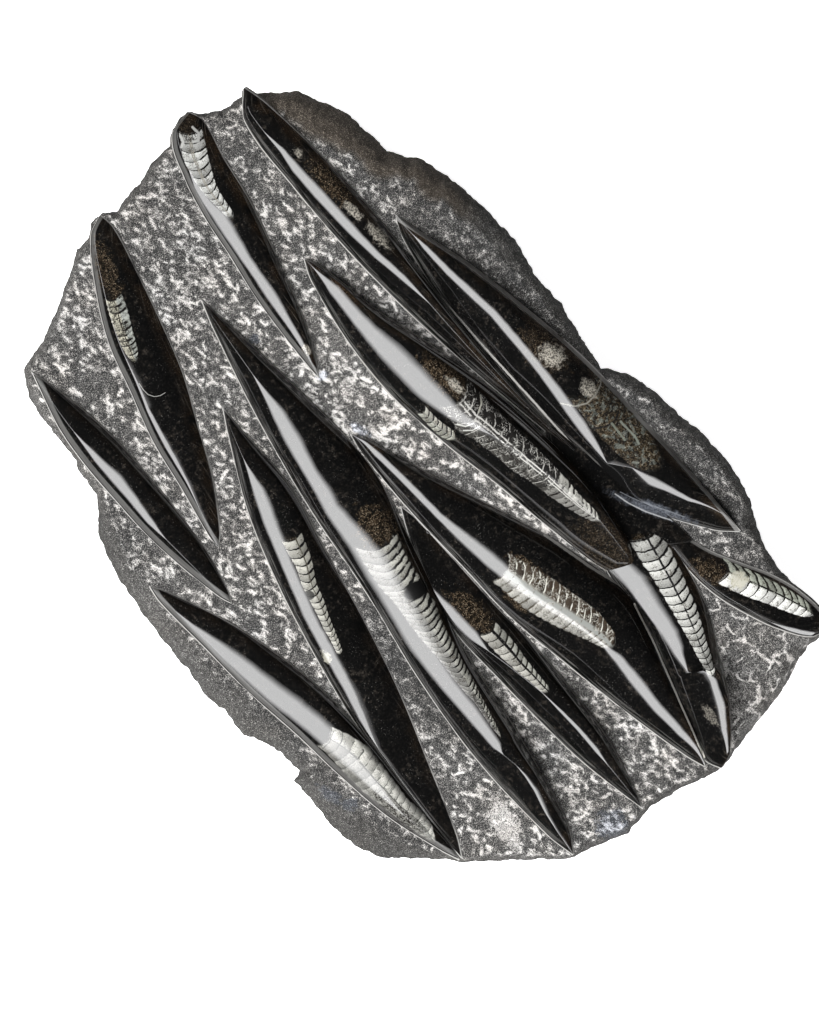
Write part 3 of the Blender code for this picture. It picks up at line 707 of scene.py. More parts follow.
def ground_material():
    """Chiselled limestone: dark grainy rock, feathery pale bruises, thin veins, plain broken rim."""
    m = Shading("chiselled_limestone")
    grain, speckle = m.swing(0.42 * MM, 2, 0.75), m.swing(0.9 * MM, 3, 0.7)
    mottle = m.swing(2.6 * MM, 4, 0.65)
    rim, shade = m.value("rim"), m.value("shade")
    calm = m.ramp(m.spot(*CALM_PATCH), 1.15, 0.75)
    pale = m.most(paint_bruises(m, rim, shade, calm), m.times(paint_veins(m), 0.5), paint_calcite(m, mottle))
    tone = m.plus(pale, m.times(mottle, 0.5), m.minus(0.15, m.times(shade, 0.5)))
    tone = m.plus(tone, m.times(grain, 2.5), m.times(speckle, 0.6), m.times(calm, 0.1))
    tone = m.math("POWER", m.ramp(tone, -0.05, 1.0), 1.5)
    dark = m.blend(rim, CHISELLED_DARK, RIM_DARK)
    colour = m.blend(tone, dark, m.blend(m.noise(16 * MM, 3, 0.5), WARM_BRUISE, COOL_BRUISE))
    brown = m.times(rim, m.ramp(m.spot(*BROWN_PATCH), 1.15, 0.8))
    colour = m.blend(brown, colour, m.blend(tone, *BROWN_TONES))
    haze = m.times(mottle, 2.5)
    blue = m.most(*(m.ramp(m.plus(m.spot(*spot, BLUE_TURN), haze), 1.1, 0.6) for spot in BLUE_SPOTS))
    colour = m.blend(m.times(blue, 0.35), colour, m.blend(tone, *BLUE_TONES))
    return m.finish(colour, 0.85, m.plus(m.times(speckle, 0.6), mottle), 0.4 * MM, specular=0.25)


def paint_bruises(m, rim, shade, calm):
    """Pale dust where the chisel struck, feathery along the pecks and thin in shaded or calm ground."""
    along_pecks = m.vector("MULTIPLY", m.seen_from((0, 0, 0), -PLAN_TURN - FLECK_TURN), (0.3, 1.0, 1.0))
    streak = m.noise(0.7 * MM, 2, 0.6, where=along_pecks)
    bruise = m.times(m.value("fleck"), m.ramp(rim, 0.0, 1.0, 0.78, 0.08))
    bruise = m.times(bruise, m.ramp(streak, 0.32, 0.62, 0.55, 1.35))
    bruise = m.times(bruise, m.ramp(m.noise(8 * MM, 2, 0.5), 0.38, 0.58, 0.55, 1.2))
    return m.times(bruise, m.rest(m.times(calm, 0.65)), m.rest(m.times(shade, 3.0)))


def paint_calcite(m, mottle):
    """One grainy patch of calcite and one small nodule."""
    ragged = m.times(mottle, 2.0)
    patch = m.ramp(m.plus(m.spot(*CALCITE_PATCH), ragged), 1.1, 0.8)
    nodule = m.ramp(m.plus(m.spot(*NODULE), ragged), 1.2, 0.6)
    return m.most(m.times(patch, 0.42), m.times(nodule, 0.55))


def paint_veins(m):
    """Thin wandering cracks filled with calcite, only in the ground at the slab's right end."""
    cells = m.nodes.new("ShaderNodeTexVoronoi")
    cells.feature = "DISTANCE_TO_EDGE"
    warp = m.vector("SUBTRACT", m.noise(7 * MM, 2, 0.5, output="Color"), (0.5, 0.5, 0.5))
    warp = m.vector("MULTIPLY", warp, (9 * MM, 9 * MM, 0))
    m.feed(cells.inputs["Vector"], m.vector("ADD", m.vector("MULTIPLY", m.place(), (1, 1, 0)), warp))
    cells.inputs["Scale"].default_value = 1 / (9 * MM)
    line = m.ramp(cells.outputs["Distance"], 0.1, 0.03)
    near = m.most(*(m.ramp(m.spot(*patch), 1.1, full) for patch, full in zip(VEINED_PATCHES, VEINS_FULL)))
    return m.times(line, near, m.ramp(m.noise(6 * MM, 2, 0.5), 0.4, 0.6))


# ---------------------------------------------------------------- materials of the ridges

SHELL_STEPS = 60
LEFT_BAND = {"a": 3.2, "b": 2.8, "c": 2.6, "i": 3.0}  # mm of grey satin wall at these ridges' left feet
RIGHT_REFLECTION_BAND = {"e": 2.2, "m": 1.4}  # mm of painted floor reflection in the polish at these ridges' right feet
# grey of the stone wall at the left feet, and of the painted floor reflection at the right feet
LEFT_BAND_TONE, RIGHT_REFLECTION_TONE = (0.05, 0.049, 0.047), (0.09, 0.088, 0.084)
BROWN_FLANK = {"b": 0.6, "c": 1.0, "d": 1.0, "e": 0.9, "f": 1.0, "g": 0.6, "l": 0.7, "j": 0.6}
LITTLE_BROWN = 0.25  # the same on the other ridges
ALL_DEBRIS = 0.9  # with more dirt than this a shell is filled with debris
DIRTY = 0.8  # with more than this its walls are broken and lines wander over it
TUBE_WALL = 0.04  # half-thickness of a wide tube's wall, as a share of the shell's half-width


def resampled(edge, shares):
    """Points at the given shares of a plan polyline's length."""
    edge = plan(edge)
    marks = np.concatenate([[0], np.cumsum(np.linalg.norm(np.diff(edge, axis=0), axis=1))])
    return np.column_stack([np.interp(shares * marks[-1], marks, edge[:, axis]) for axis in (0, 1)])


def shell_places(shell, points):
    """Place across the shell, -1 to 1, and along it, counted in chambers, at each point."""
    shares = np.linspace(0, 1, SHELL_STEPS)
    left, right = resampled(shell.left, shares), resampled(shell.right, shares)
    middle, half = (left + right) / 2, np.linalg.norm(left - right, axis=1) / 2
    run = np.diff(middle, axis=0)
    lengths = np.linalg.norm(run, axis=1)
    offset = points[:, None, :] - middle[None, :-1, :]
    t = (offset * run).sum(2) / lengths**2
    low, high = np.zeros(len(run)), np.ones(len(run))
    low[0], high[-1] = -20, 20
    t = np.clip(t, low, high)
    away = np.linalg.norm(offset - t[:, :, None] * run, axis=2)
    segment = away.argmin(1)
    rows = np.arange(len(points))
    t, away = t[rows, segment], away[rows, segment]
    side = run[segment, 0] * offset[rows, segment, 1] - run[segment, 1] * offset[rows, segment, 0]
    width = half[segment] + (half[segment + 1] - half[segment]) * np.clip(t, 0, 1)
    place = np.concatenate([[0], np.cumsum(lengths)])[segment] + t * lengths[segment]
    return np.sign(side) * away / width, chamber_count(shell, place, lengths.sum())


def chamber_count(shell, place, length):
    """Chambers passed at a distance along a shell whose chambers shorten evenly."""
    first, last = shell.first * PLAN_UNIT, shell.last * PLAN_UNIT
    taper = (last - first) / length
    inside = np.log(np.clip(first + taper * np.clip(place, 0, length), last, first) / first) / taper
    return inside + np.minimum(place, 0) / first + np.maximum(place - length, 0) / last


def total_chambers(shell):
    """Chambers between the two ends of a shell."""
    left, right = (plan((edge[0], edge[-1])) for edge in (shell.left, shell.right))
    length = np.linalg.norm(np.diff((left + right) / 2, axis=0))
    return float(chamber_count(shell, length, length))


def scribble(m, size):
    """Thin wandering lines: 1 on a line, 0 away from it."""
    offset = m.math("ABSOLUTE", m.minus(m.noise(size, 2, 0.55, distortion=0.7), 0.5))
    return m.times(m.ramp(offset, 0.035, 0.012), m.ramp(m.noise(4 * MM, 2, 0.5), 0.42, 0.55))


def mottled(m):
    """Shell debris: blotches of black, brown and grey with thin pale and dark lines."""
    fine = m.noise(1.1 * MM, 3, 0.65, distortion=0.8)
    coarse = m.noise(3.0 * MM, 3, 0.6, distortion=0.5)
    brown = m.blend(m.ramp(fine, 0.42, 0.56), (0.006, 0.005, 0.0035), (0.045, 0.034, 0.021))
    grey = m.blend(m.ramp(fine, 0.4, 0.6), (0.04, 0.042, 0.036), (0.09, 0.095, 0.083))
    tone = m.blend(m.ramp(coarse, 0.53, 0.6), brown, grey)
    tone = m.blend(m.ramp(fine, 0.6, 0.68), tone, (0.18, 0.172, 0.145))
    return m.blend(m.times(scribble(m, 2.2 * MM), 0.9), tone, (0.004, 0.004, 0.004))


def paint_chambers(m, shell, half, bowed, grain):
    """A shell's filling: each chamber a little lighter or darker, and shaded towards its wall."""
    if shell.dirt > ALL_DEBRIS:
        return mottled(m)
    cell = m.add("TexWhiteNoise", None, m.math("FLOOR", bowed), noise_dimensions="1D")
    shade = m.times(m.ramp(cell, 0.0, 1.0, 0.7, 1.15), m.ramp(grain, 0.2, 0.7, 0.7, 1.15))
    shade = m.times(shade, m.ramp(m.math("FRACT", bowed), 0.1, 0.95, 1.15, 0.75))
    return m.tint(m.blend(half, *shell.halves), shade)


def paint_tube(m, shell, across, cloud, colour):
    """The tube that runs through all the chambers: a thread, or the two walls of a wide one."""
    place, half_width, tone, hollow = shell.tube
    offset = m.math("ABSOLUTE", m.minus(across, place))
    if hollow:
        offset = m.math("ABSOLUTE", m.minus(offset, half_width))
        half_width = TUBE_WALL
    tube = m.ramp(offset, half_width * 1.3, half_width * 0.8)
    return m.blend(m.times(tube, m.ramp(cloud, 0.36, 0.46)), colour, tone)


def paint_shell(m, shell, body, name):
    """Chambers, their walls and the tube of one shell over the body colour; also where it covers the body."""
    grain, cloud = m.noise(0.5 * MM, 2, 0.6), m.noise(2.6 * MM, 3, 0.6)
    wobble = m.times(m.minus(cloud, 0.5), 0.34)
    across = m.plus(m.value(name + "_across"), m.times(wobble, 0.5))
    bow = m.times(across, across, m.ramp(across, -0.4, 0.4, *shell.bow))
    bowed = m.plus(m.value(name + "_along"), bow, wobble)
    wall_distance = m.math("PINGPONG", bowed, 0.5)
    half = m.ramp(across, -0.05, 0.25)
    tone = paint_chambers(m, shell, half, bowed, grain)
    patchy, spread = m.plus(cloud, m.times(m.minus(grain, 0.5), 0.8)), 0.3 * shell.dirt
    dirt = m.ramp(patchy, 0.62 - spread, 0.4 - spread)
    tone = m.blend(m.times(dirt, 0.5 + 0.5 * shell.dirt), tone, (0.022, 0.017, 0.011))
    walls = m.blend(half, *shell.walls) if isinstance(shell.walls[0], tuple) else shell.walls
    wall = m.ramp(m.math("DIVIDE", wall_distance, m.ramp(across, -0.6, 0.9, *shell.thickness)), 1.0, 0.5)
    broken = m.ramp(m.noise(3.5 * MM, 2, 0.5), *((0.4, 0.55) if shell.dirt > DIRTY else (0.28, 0.4)))
    tone = m.blend(m.times(wall, broken), tone, walls)
    if shell.dirt > DIRTY:
        tone = m.blend(m.times(scribble(m, 1.4 * MM), 0.85), tone, walls)
    if shell.tube:
        tone = paint_tube(m, shell, across, cloud, tone)
    inside = m.ramp(m.minus(m.math("ABSOLUTE", across), m.times(wall_distance, 0.1)), 1.02, 0.92)
    inside = m.times(inside, m.ramp(m.plus(bowed, m.times(grain, 0.6)), 0.1, 0.45))
    chambers = total_chambers(shell)
    inside = m.times(inside, m.ramp(bowed, chambers + 0.4, chambers - 0.6))
    return m.blend(inside, body, tone), inside


def stain_look(m, kind, grain):
    """Colour of one kind of stain, or of the painted sheen, which is a painted reflection."""
    if kind == "grains":
        coarse, fine = m.noise(1.5 * MM, 3, 0.7, distortion=0.4), m.noise(0.5 * MM, 2, 0.7)
        speck = m.blend(m.ramp(coarse, 0.42, 0.62), (0.004, 0.003, 0.002), (0.026, 0.018, 0.011))
        bright = m.times(m.ramp(fine, 0.56, 0.66), m.ramp(coarse, 0.4, 0.5))
        speck = m.blend(bright, speck, (0.13, 0.105, 0.075))
        return m.blend(m.ramp(fine, 0.44, 0.38), speck, (0.002, 0.0015, 0.001))
    if kind == "crystal":
        return m.blend(m.ramp(grain, 0.42, 0.58), (0.05, 0.045, 0.04), (0.3, 0.28, 0.24))
    if kind == "calcite":
        return m.blend(m.ramp(grain, 0.3, 0.5), (0.2, 0.19, 0.13), (0.33, 0.32, 0.27))
    # painted sheen: a streaky bluish grey reflection painted into the polish
    if kind == "sheen":
        return m.blend(m.ramp(grain, 0.35, 0.65), (0.03, 0.033, 0.04), (0.1, 0.108, 0.125))
    return {"black": (0.003, 0.003, 0.003), "pits": (0.005, 0.004, 0.003)}[kind]


def paint_stain(m, stain, colour):
    """One patch of its kind over the given colour; also where it covers the colour."""
    near = m.spot(stain.middle, stain.half_length, stain.half_width, stain.turn)
    edge = m.plus(near, m.times(m.minus(m.noise(2.5 * MM, 2, 0.6), 0.5), 1.8))
    # the painted sheen fades softly across its whole ellipse
    reaches = {"black": (near, 1.15, 0.85), "sheen": (edge, 1.3, 0.1)}
    mask = m.times(m.ramp(*reaches.get(stain.kind, (edge, 1.15, 0.6))), stain.strength)
    if stain.kind == "pits":
        mask = m.times(mask, m.ramp(m.noise(0.9 * MM, 2, 0.6, distortion=0.6), 0.48, 0.54))
    look = stain_look(m, stain.kind, m.noise(0.75 * MM, 3, 0.65))
    return m.blend(mask, colour, look), mask


def paint_stains(m, ridge, under_shells, colour, line):
    """The ridge's grains, which lie under its shells, or its other stains and painted sheen; the foot lines
    end at them.
    """
    for stain in STAINS:
        if stain.ridge == ridge.name and (stain.kind == "grains") == under_shells:
            colour, covered = paint_stain(m, stain, colour)
            line = m.times(line, m.rest(covered))
    return colour, line


def paint_stroke(m, stroke, colour):
    """One thin line through the stroke's points over the given colour."""
    distances = [m.from_segment(start, stop) for start, stop in zip(stroke.points[:-1], stroke.points[1:])]
    nearest = m.math("MINIMUM", *distances) if len(distances) > 1 else distances[0]
    half_width = stroke.half_width * PLAN_UNIT
    rough = m.times(m.swing(2 * MM, 2, 0.5), half_width)
    mask = m.ramp(m.plus(nearest, rough), half_width * 1.25, half_width * 0.6)
    return m.blend(m.times(mask, stroke.strength), colour, stroke.tone)


def paint_polish(m, grain, cloud):
    """Black polish with faint smudges and dust."""
    black = m.blend(m.ramp(grain, 0.5, 0.75), (0.0015, 0.0015, 0.0015), (0.009, 0.0085, 0.008))
    smudge = m.times(m.ramp(m.noise(2.2 * MM, 4, 0.7), 0.5, 0.72), m.ramp(m.noise(11 * MM, 2, 0.5), 0.4, 0.6))
    black = m.blend(smudge, black, (0.022, 0.019, 0.016))
    dust = m.times(m.ramp(m.noise(0.6 * MM, 2, 0.6), 0.64, 0.72), m.ramp(cloud, 0.35, 0.6))
    return m.blend(dust, black, (0.06, 0.057, 0.053))


def paint_flanks(m, ridge, from_left, from_right, grain, cloud, streak, colour):
    """Brown scratched stone along the right foot and grey along the left, weak where the ridge is narrow."""
    brown = m.blend(m.ramp(grain, 0.42, 0.68), (0.006, 0.0035, 0.002), (0.042, 0.028, 0.016))
    wide = m.ramp(m.plus(from_left, from_right), 3.0, 13.0, 0.25, 1.0)
    flank = m.times(m.ramp(from_right, 0.5, 7.0, 1.0, 0.0), BROWN_FLANK.get(ridge.name, LITTLE_BROWN), wide)
    colour = m.blend(m.times(flank, m.ramp(cloud, 0.35, 0.6)), colour, brown)
    colour = m.blend(m.times(flank, m.ramp(streak, 0.56, 0.68)), colour, (0.05, 0.045, 0.038))
    wall = m.times(m.ramp(from_left, 2.2, 3.4, 1.0, 0.0), wide)
    return m.blend(m.times(wall, m.ramp(streak, 0.42, 0.66)), colour, (0.045, 0.044, 0.042))


def paint_band(m, distance, start, width, tone, streak, colour, satin):
    """Dull grey band along one foot, stone at a left foot and a painted floor reflection at a right foot: the
    colour and the dullness with it.
    """
    band = m.times(m.ramp(distance, *start), m.ramp(distance, width + 0.3, width - 0.3))
    colour = m.blend(m.times(band, m.ramp(streak, 0.25, 0.6, 0.6, 1.0)), colour, tone)
    return colour, m.most(satin, m.times(band, 0.4))


def ridge_material(ridge):
    """Polished black limestone with the shells and stains that this ridge shows."""
    m = Shading("polished_limestone_" + ridge.name)
    grain, cloud = m.noise(0.55 * MM, 3, 0.65), m.noise(9 * MM, 3, 0.5)
    from_left, from_right = m.value("from_left"), m.value("from_right")
    lengthwise = m.add("CombineXYZ", m.times(m.value("along"), 0.05), m.times(from_left, 1.3), 0.0)
    streak = m.noise(1.0, 3, 0.6, where=lengthwise)
    colour = paint_polish(m, grain, cloud)
    colour = paint_flanks(m, ridge, from_left, from_right, grain, cloud, streak, colour)
    satin = m.ramp(cloud, 0.3, 0.7, 0.05, 0.1)
    # left bands are grey stone walls; right bands are a painted reflection of the floor in the steep polish
    for bands, distance, start, tone in ((LEFT_BAND, from_left, (0.7, 1.1), LEFT_BAND_TONE),
                                         (RIGHT_REFLECTION_BAND, from_right, (0.3, 0.6), RIGHT_REFLECTION_TONE)):
        if ridge.name in bands:
            colour, satin = paint_band(m, distance, start, bands[ridge.name], tone, streak, colour, satin)
    # Pale lines along the feet: at the left foot a painted highlight where the polish would mirror the
    # softbox, at the right foot pale chipped stone.
    right_line = m.times(m.ramp(from_right, 0.25, 0.7, 1.0, 0.0), m.ramp(cloud, 0.3, 0.5, 0.35, 1.0))
    line = m.most(m.ramp(from_left, 0.2, 0.6, 1.0, 0.0), right_line)
    line = m.times(line, 0.0 if ridge is SADDLE else 1.0)
    colour = m.blend(line, colour, (0.24, 0.235, 0.225))
    colour, line = paint_stains(m, ridge, True, colour, line)
    for number, shell in enumerate(SHELLS):
        if shell.ridge == ridge.name:
            colour, covered = paint_shell(m, shell, colour, f"shell_{number}")
            satin = m.most(satin, m.times(covered, 0.17))
    colour, line = paint_stains(m, ridge, False, colour, line)
    for stroke in STROKES:
        if ridge.name in stroke.ridges:
            colour = paint_stroke(m, stroke, colour)
    buried = m.most(m.ramp(from_left, 0.0, -0.06), m.ramp(from_right, 0.0, -0.06))
    rock = m.blend(m.ramp(m.noise(1.0 * MM, 3, 0.7), 0.36, 0.66), (0.012, 0.011, 0.01), (0.085, 0.078, 0.07))
    rough = m.most(satin, m.times(m.most(line, buried), 0.6))
    return m.finish(m.blend(buried, colour, rock), rough, m.noise(14 * MM, 2, 0.5), 0.05 * MM)


# ---------------------------------------------------------------- studio


def build_softbox_strip(name, near, far, share):
    """One long strip of the softbox, between two directions off the vertical."""
    (near_x, near_z), (far_x, far_z) = softbox_edge(near), softbox_edge(far)
    light = bpy.data.lights.new(name, "AREA")
    light.shape = "RECTANGLE"
    light.size = math.hypot(far_x - near_x, far_z - near_z)
    light.size_y = SOFTBOX_LENGTH
    light.energy = SOFTBOX_GLOW * share * light.size * light.size_y
    holder = bpy.data.objects.new(name, light)
    holder.location = ((near_x + far_x) / 2, 0, (near_z + far_z) / 2)
    holder.rotation_euler = (0, -(SOFTBOX_NEAR + SOFTBOX_FAR) / 2, 0)
    holder.visible_camera = False
    bpy.context.scene.collection.objects.link(holder)


def build_softbox():
    """The long softbox on the left, strip by strip."""
    near = SOFTBOX_NEAR
    for number, (share, width) in enumerate(SOFTBOX_STRIPS):
        far = near + math.radians(width)
        build_softbox_strip(f"softbox_{number}", near, far, share)
        near = far


def build_floor():
    """Wide white paper, which the polish doesn't mirror."""
    corners = [(x * FLOOR_REACH, y * FLOOR_REACH, 0) for x, y in ((-1, -1), (1, -1), (1, 1), (-1, 1))]
    floor_mesh = bpy.data.meshes.new("floor")
    floor_mesh.from_pydata(corners, [], [(0, 1, 2, 3)])
    paper = bpy.data.materials.new("floor_paper")
    paper.use_nodes = True
    shader = paper.node_tree.nodes["Principled BSDF"]
    shader.inputs["Base Color"].default_value = (0.86, 0.86, 0.86, 1)
    shader.inputs["Roughness"].default_value = 0.9
    shader.inputs["Emission Color"].default_value = (1, 1, 1, 1)
    shader.inputs["Emission Strength"].default_value = FLOOR_GLOW
    floor_mesh.materials.append(paper)
    floor = bpy.data.objects.new("floor", floor_mesh)
    floor.visible_glossy = False
    bpy.context.scene.collection.objects.link(floor)


def build_world():
    """White to the camera, a dim room to matt surfaces and a darker one to the polish."""
    world = bpy.data.worlds.new("studio")
    bpy.context.scene.world = world
    world.use_nodes = True
    nodes, links = world.node_tree.nodes, world.node_tree.links
    nodes.clear()
    path = nodes.new("ShaderNodeLightPath")
    seen, room, mirrored = (nodes.new("ShaderNodeBackground") for _ in range(3))
    for background, colour in ((seen, (1, 1, 1)), (room, ROOM_FILL), (mirrored, ROOM_MIRRORED)):
        background.inputs["Color"].default_value = (*colour, 1)
    lit, shown = nodes.new("ShaderNodeMixShader"), nodes.new("ShaderNodeMixShader")
    mixes = ((lit, "Is Glossy Ray", room, mirrored), (shown, "Is Camera Ray", lit, seen))
    for mix, ray, otherwise, then in mixes:
        links.new(path.outputs[ray], mix.inputs[0])
        links.new(otherwise.outputs[0], mix.inputs[1])
        links.new(then.outputs[0], mix.inputs[2])
    links.new(shown.outputs[0], nodes.new("ShaderNodeOutputWorld").inputs["Surface"])


def build_camera():
    """Camera straight above the plan's middle, turned so that the plan stands upright in the image."""
    scene = bpy.context.scene
    camera = bpy.data.cameras.new("camera")
    camera.sensor_fit = "VERTICAL"
    camera.sensor_height = SENSOR_HEIGHT
    camera.lens = SENSOR_HEIGHT * (CAMERA_HEIGHT - GROUND) / FRAME_LONG_SIDE
    holder = bpy.data.objects.new("camera", camera)
    holder.location = (*plan(CAMERA_AIM), CAMERA_HEIGHT)
    holder.rotation_euler = (0, 0, -PLAN_TURN)
    scene.collection.objects.link(holder)
    scene.camera = holder
    scene.view_settings.view_transform = "Standard"


# ---------------------------------------------------------------- ground, rim, sides and back

EDGE_STEP = 1.05 * MM  # spacing of the points along the broken edge
GROUND_STEP = 0.72 * MM  # spacing of the ground's points where it shows
HIDDEN_STEP = 5.0 * MM  # the same under the ridges
HIDDEN_DEPTH = 1.6 * MM  # how far inside a ridge's foot the ground counts as hidden
SIDE_ROWS = 16
NORMAL_REACH = 6.0 * MM  # stretch of edge that shares in an edge point's direction
FLECK_PIXEL = 0.3 * MM
MAP_MARGIN = 5.0 * MM  # how far the rasters go on past the outline
# Stretches of ground with fewer bruises: middle on the plan, half-length, half-width, turn, how much darker.
SHADED = (
    ((530, 265), 290, 85, 45, 0.17), ((255, 745), 230, 75, 42, 0.12), ((90, 545), 60, 50, 60, 0.1),
    ((210, 190), 80, 110, 30, 0.07), ((760, 650), 80, 70, 60, 0.13), ((715, 510), 90, 50, 42, 0.12),
    ((420, 665), 90, 40, 58, 0.2), ((600, 830), 60, 40, 0, 0.05), ((285, 440), 50, 40, 60, 0.07),
    ((365, 365), 90, 60, 50, -0.14), ((500, 820), 60, 40, 0, -0.02), ((520, 495), 60, 25, 40, -0.2),
    ((75, 565), 60, 50, 60, 0.12), ((370, 840), 60, 25, 20, 0.12), ((690, 790), 40, 25, -30, 0.1),
)
FLECK_COUNT = 9000
GROUND_SEED = 11
PECK_DEPTH = 0.45 * MM


def edge_points():
    """The outline resampled finely and roughened, with the rim's width at each point."""
    corners = plan([p[:2] for p in OUTLINE])
    widths = np.array([p[2] for p in OUTLINE]) * MM
    closed = np.vstack([corners, corners[:1]])
    lengths = np.linalg.norm(np.diff(closed, axis=0), axis=1)
    marks = np.concatenate([[0], np.cumsum(lengths)])
    count = int(marks[-1] / EDGE_STEP)
    places = np.linspace(0, marks[-1], count, endpoint=False)
    ring = np.column_stack([np.interp(places, marks, closed[:, axis]) for axis in (0, 1)])
    rim = np.interp(places, marks, np.append(widths, widths[0]))
    reach = int(NORMAL_REACH / EDGE_STEP)
    run = np.roll(ring, -reach, axis=0) - np.roll(ring, reach, axis=0)
    inward = np.column_stack([run[:, 1], -run[:, 0]]) / np.linalg.norm(run, axis=1)[:, None]
    flat = np.column_stack([ring, np.zeros(count)])
    rough = 0.55 * rock_noise(flat, 9 * MM, 4) + 0.3 * rock_noise(flat, 2.2 * MM, 2, 7.0)
    ring = ring + inward * (rough * 0.8 * MM)[:, None]
    return ring, inward, rim * (1 + 0.35 * rock_noise(flat, 14 * MM, 3, 3.0))


def ridge_depth(points):
    """How far each point lies inside the nearest ridge's foot; negative outside."""
    deepest = np.full(len(points), -1.0)
    for ridge in (*RIDGES, SADDLE):
        tip, along, leftward = ridge_frame(ridge)
        length = np.linalg.norm(along)
        share = (points - tip) @ along / length**2
        offset = (points - tip) @ leftward
        left, right = ridge_widths(ridge, np.clip(share, 0, 1))
        depth = np.minimum(left - offset, offset - right)
        depth = np.minimum(depth, np.minimum(share, 1 - share) * length)
        deepest = np.maximum(deepest, depth)
    return deepest


def inside_ring(xs, y, ring):
    """Which of the places xs on the line at height y lie inside the closed ring."""
    start, stop = ring, np.roll(ring, -1, axis=0)
    crosses = (start[:, 1] > y) != (stop[:, 1] > y)
    start, stop = start[crosses], stop[crosses]
    cuts = start[:, 0] + (y - start[:, 1]) / (stop[:, 1] - start[:, 1]) * (stop[:, 0] - start[:, 0])
    return (xs[:, None] > cuts[None, :]).sum(1) % 2 == 1


def ground_grid(ring, step, rng):
    """Jittered points on a triangular grid inside the ring."""
    low, high = ring.min(0), ring.max(0)
    rows = []
    for row, y in enumerate(np.arange(low[1], high[1], step * 0.866)):
        xs = np.arange(low[0], high[0], step) + (row % 2) * step / 2
        xs = xs[inside_ring(xs, y, ring)]
        rows.append(np.column_stack([xs, np.full(len(xs), y)]))
    points = np.vstack(rows)
    return points + rng.uniform(-0.22, 0.22, points.shape) * step


Peck = namedtuple("Peck", "centre half_length half_width facing bend strength")


def draw_peck(rng, shape):
    """One chisel peck, a short bent dash, at a random place in a raster of that shape."""
    centre = rng.uniform(0, 1, 2) * shape
    half_length = rng.uniform(0.2, 1.3) ** 1.6 * 1.6 * MM / FLECK_PIXEL
    half_width = rng.uniform(0.45, 0.85) * MM / FLECK_PIXEL
    facing = rng.normal(-PLAN_TURN - FLECK_TURN, 0.55)
    bend = rng.uniform(-0.35, 0.35) / half_length
    return Peck(centre, half_length, half_width, facing, bend, rng.uniform(0.45, 1.0))


def stamp_peck(peck, pale, pit):
    """Adds a peck's bruise and its wider pit to the two rasters, unless it would cross their edge."""
    reach = int(peck.half_length + 3 * peck.half_width) + 1
    i0, j0 = (int(place) - reach for place in peck.centre)
    if i0 < 0 or j0 < 0 or i0 + 2 * reach >= pale.shape[0] or j0 + 2 * reach >= pale.shape[1]:
        return
    di = np.arange(i0, i0 + 2 * reach)[:, None] - peck.centre[0]
    dj = np.arange(j0, j0 + 2 * reach)[None, :] - peck.centre[1]
    cos_facing, sin_facing = math.cos(peck.facing), math.sin(peck.facing)
    ahead = di * cos_facing + dj * sin_facing
    aside = (dj * cos_facing - di * sin_facing - peck.bend * ahead**2) / peck.half_width
    past_end = np.maximum(np.abs(ahead) - peck.half_length, 0) / peck.half_width
    window = (slice(i0, i0 + 2 * reach), slice(j0, j0 + 2 * reach))
    for raster, width in ((pale, 1), (pit, 2)):
        mark = peck.strength * np.exp(-((aside / width) ** 2) - past_end**2)
        raster[window] = np.maximum(raster[window], mark)


def fleck_maps(rng):
    """Corner of two rasters over the slab, and the rasters: pale bruise and pit depth of all the pecks."""
    low = plan([p[:2] for p in OUTLINE]).min(0) - MAP_MARGIN
    shape = (-2 * low / FLECK_PIXEL).astype(int)
    pale, pit = np.zeros(shape), np.zeros(shape)
    for _ in range(FLECK_COUNT):
        stamp_peck(draw_peck(rng, shape), pale, pit)
    return low, pale, pit


def sample_map(points, low, raster):
    """Value of a raster at each point, read with linear interpolation."""
    place = (points - low) / FLECK_PIXEL
    base = np.floor(place).astype(int)
    base = np.clip(base, 0, np.array(raster.shape) - 2)
    f = np.clip(place - base, 0, 1)
    i, j = base[:, 0], base[:, 1]
    near = raster[i, j] * (1 - f[:, 0]) + raster[i + 1, j] * f[:, 0]
    far = raster[i, j + 1] * (1 - f[:, 0]) + raster[i + 1, j + 1] * f[:, 0]
    return near * (1 - f[:, 1]) + far * f[:, 1]


def on_plan(points):
    """The slab's own X and Y back to plan points."""
    x, y = (points + MIDDLE).T / PLAN_UNIT
    cos_turn, sin_turn = math.cos(PLAN_TURN), math.sin(PLAN_TURN)
    return np.stack([x * cos_turn - y * sin_turn, -y * cos_turn - x * sin_turn], -1)


def shade_depth(points):
    """How much darker the ground is at each point than elsewhere."""
    depth = np.zeros(len(points))
    for middle, half_length, half_width, turn, amount in SHADED:
        east, south = (on_plan(points) - middle).T
        cos_axis, sin_axis = math.cos(math.radians(turn)), math.sin(math.radians(turn))
        ahead = (east * cos_axis + south * sin_axis) / half_length
        aside = (south * cos_axis - east * sin_axis) / half_width
        depth += amount * np.exp(-((ahead**2 + aside**2) ** 2))
    return depth


def nearest_edge(points, ring):
    """Index of the nearest ring point and the distance to it, for each point."""
    tree = kdtree.KDTree(len(ring))
    for i, p in enumerate(ring):
        tree.insert((p[0], p[1], 0), i)
    tree.balance()
    found = [tree.find((x, y, 0)) for x, y in points.tolist()]
    return np.array([f[1] for f in found]), np.array([f[2] for f in found])


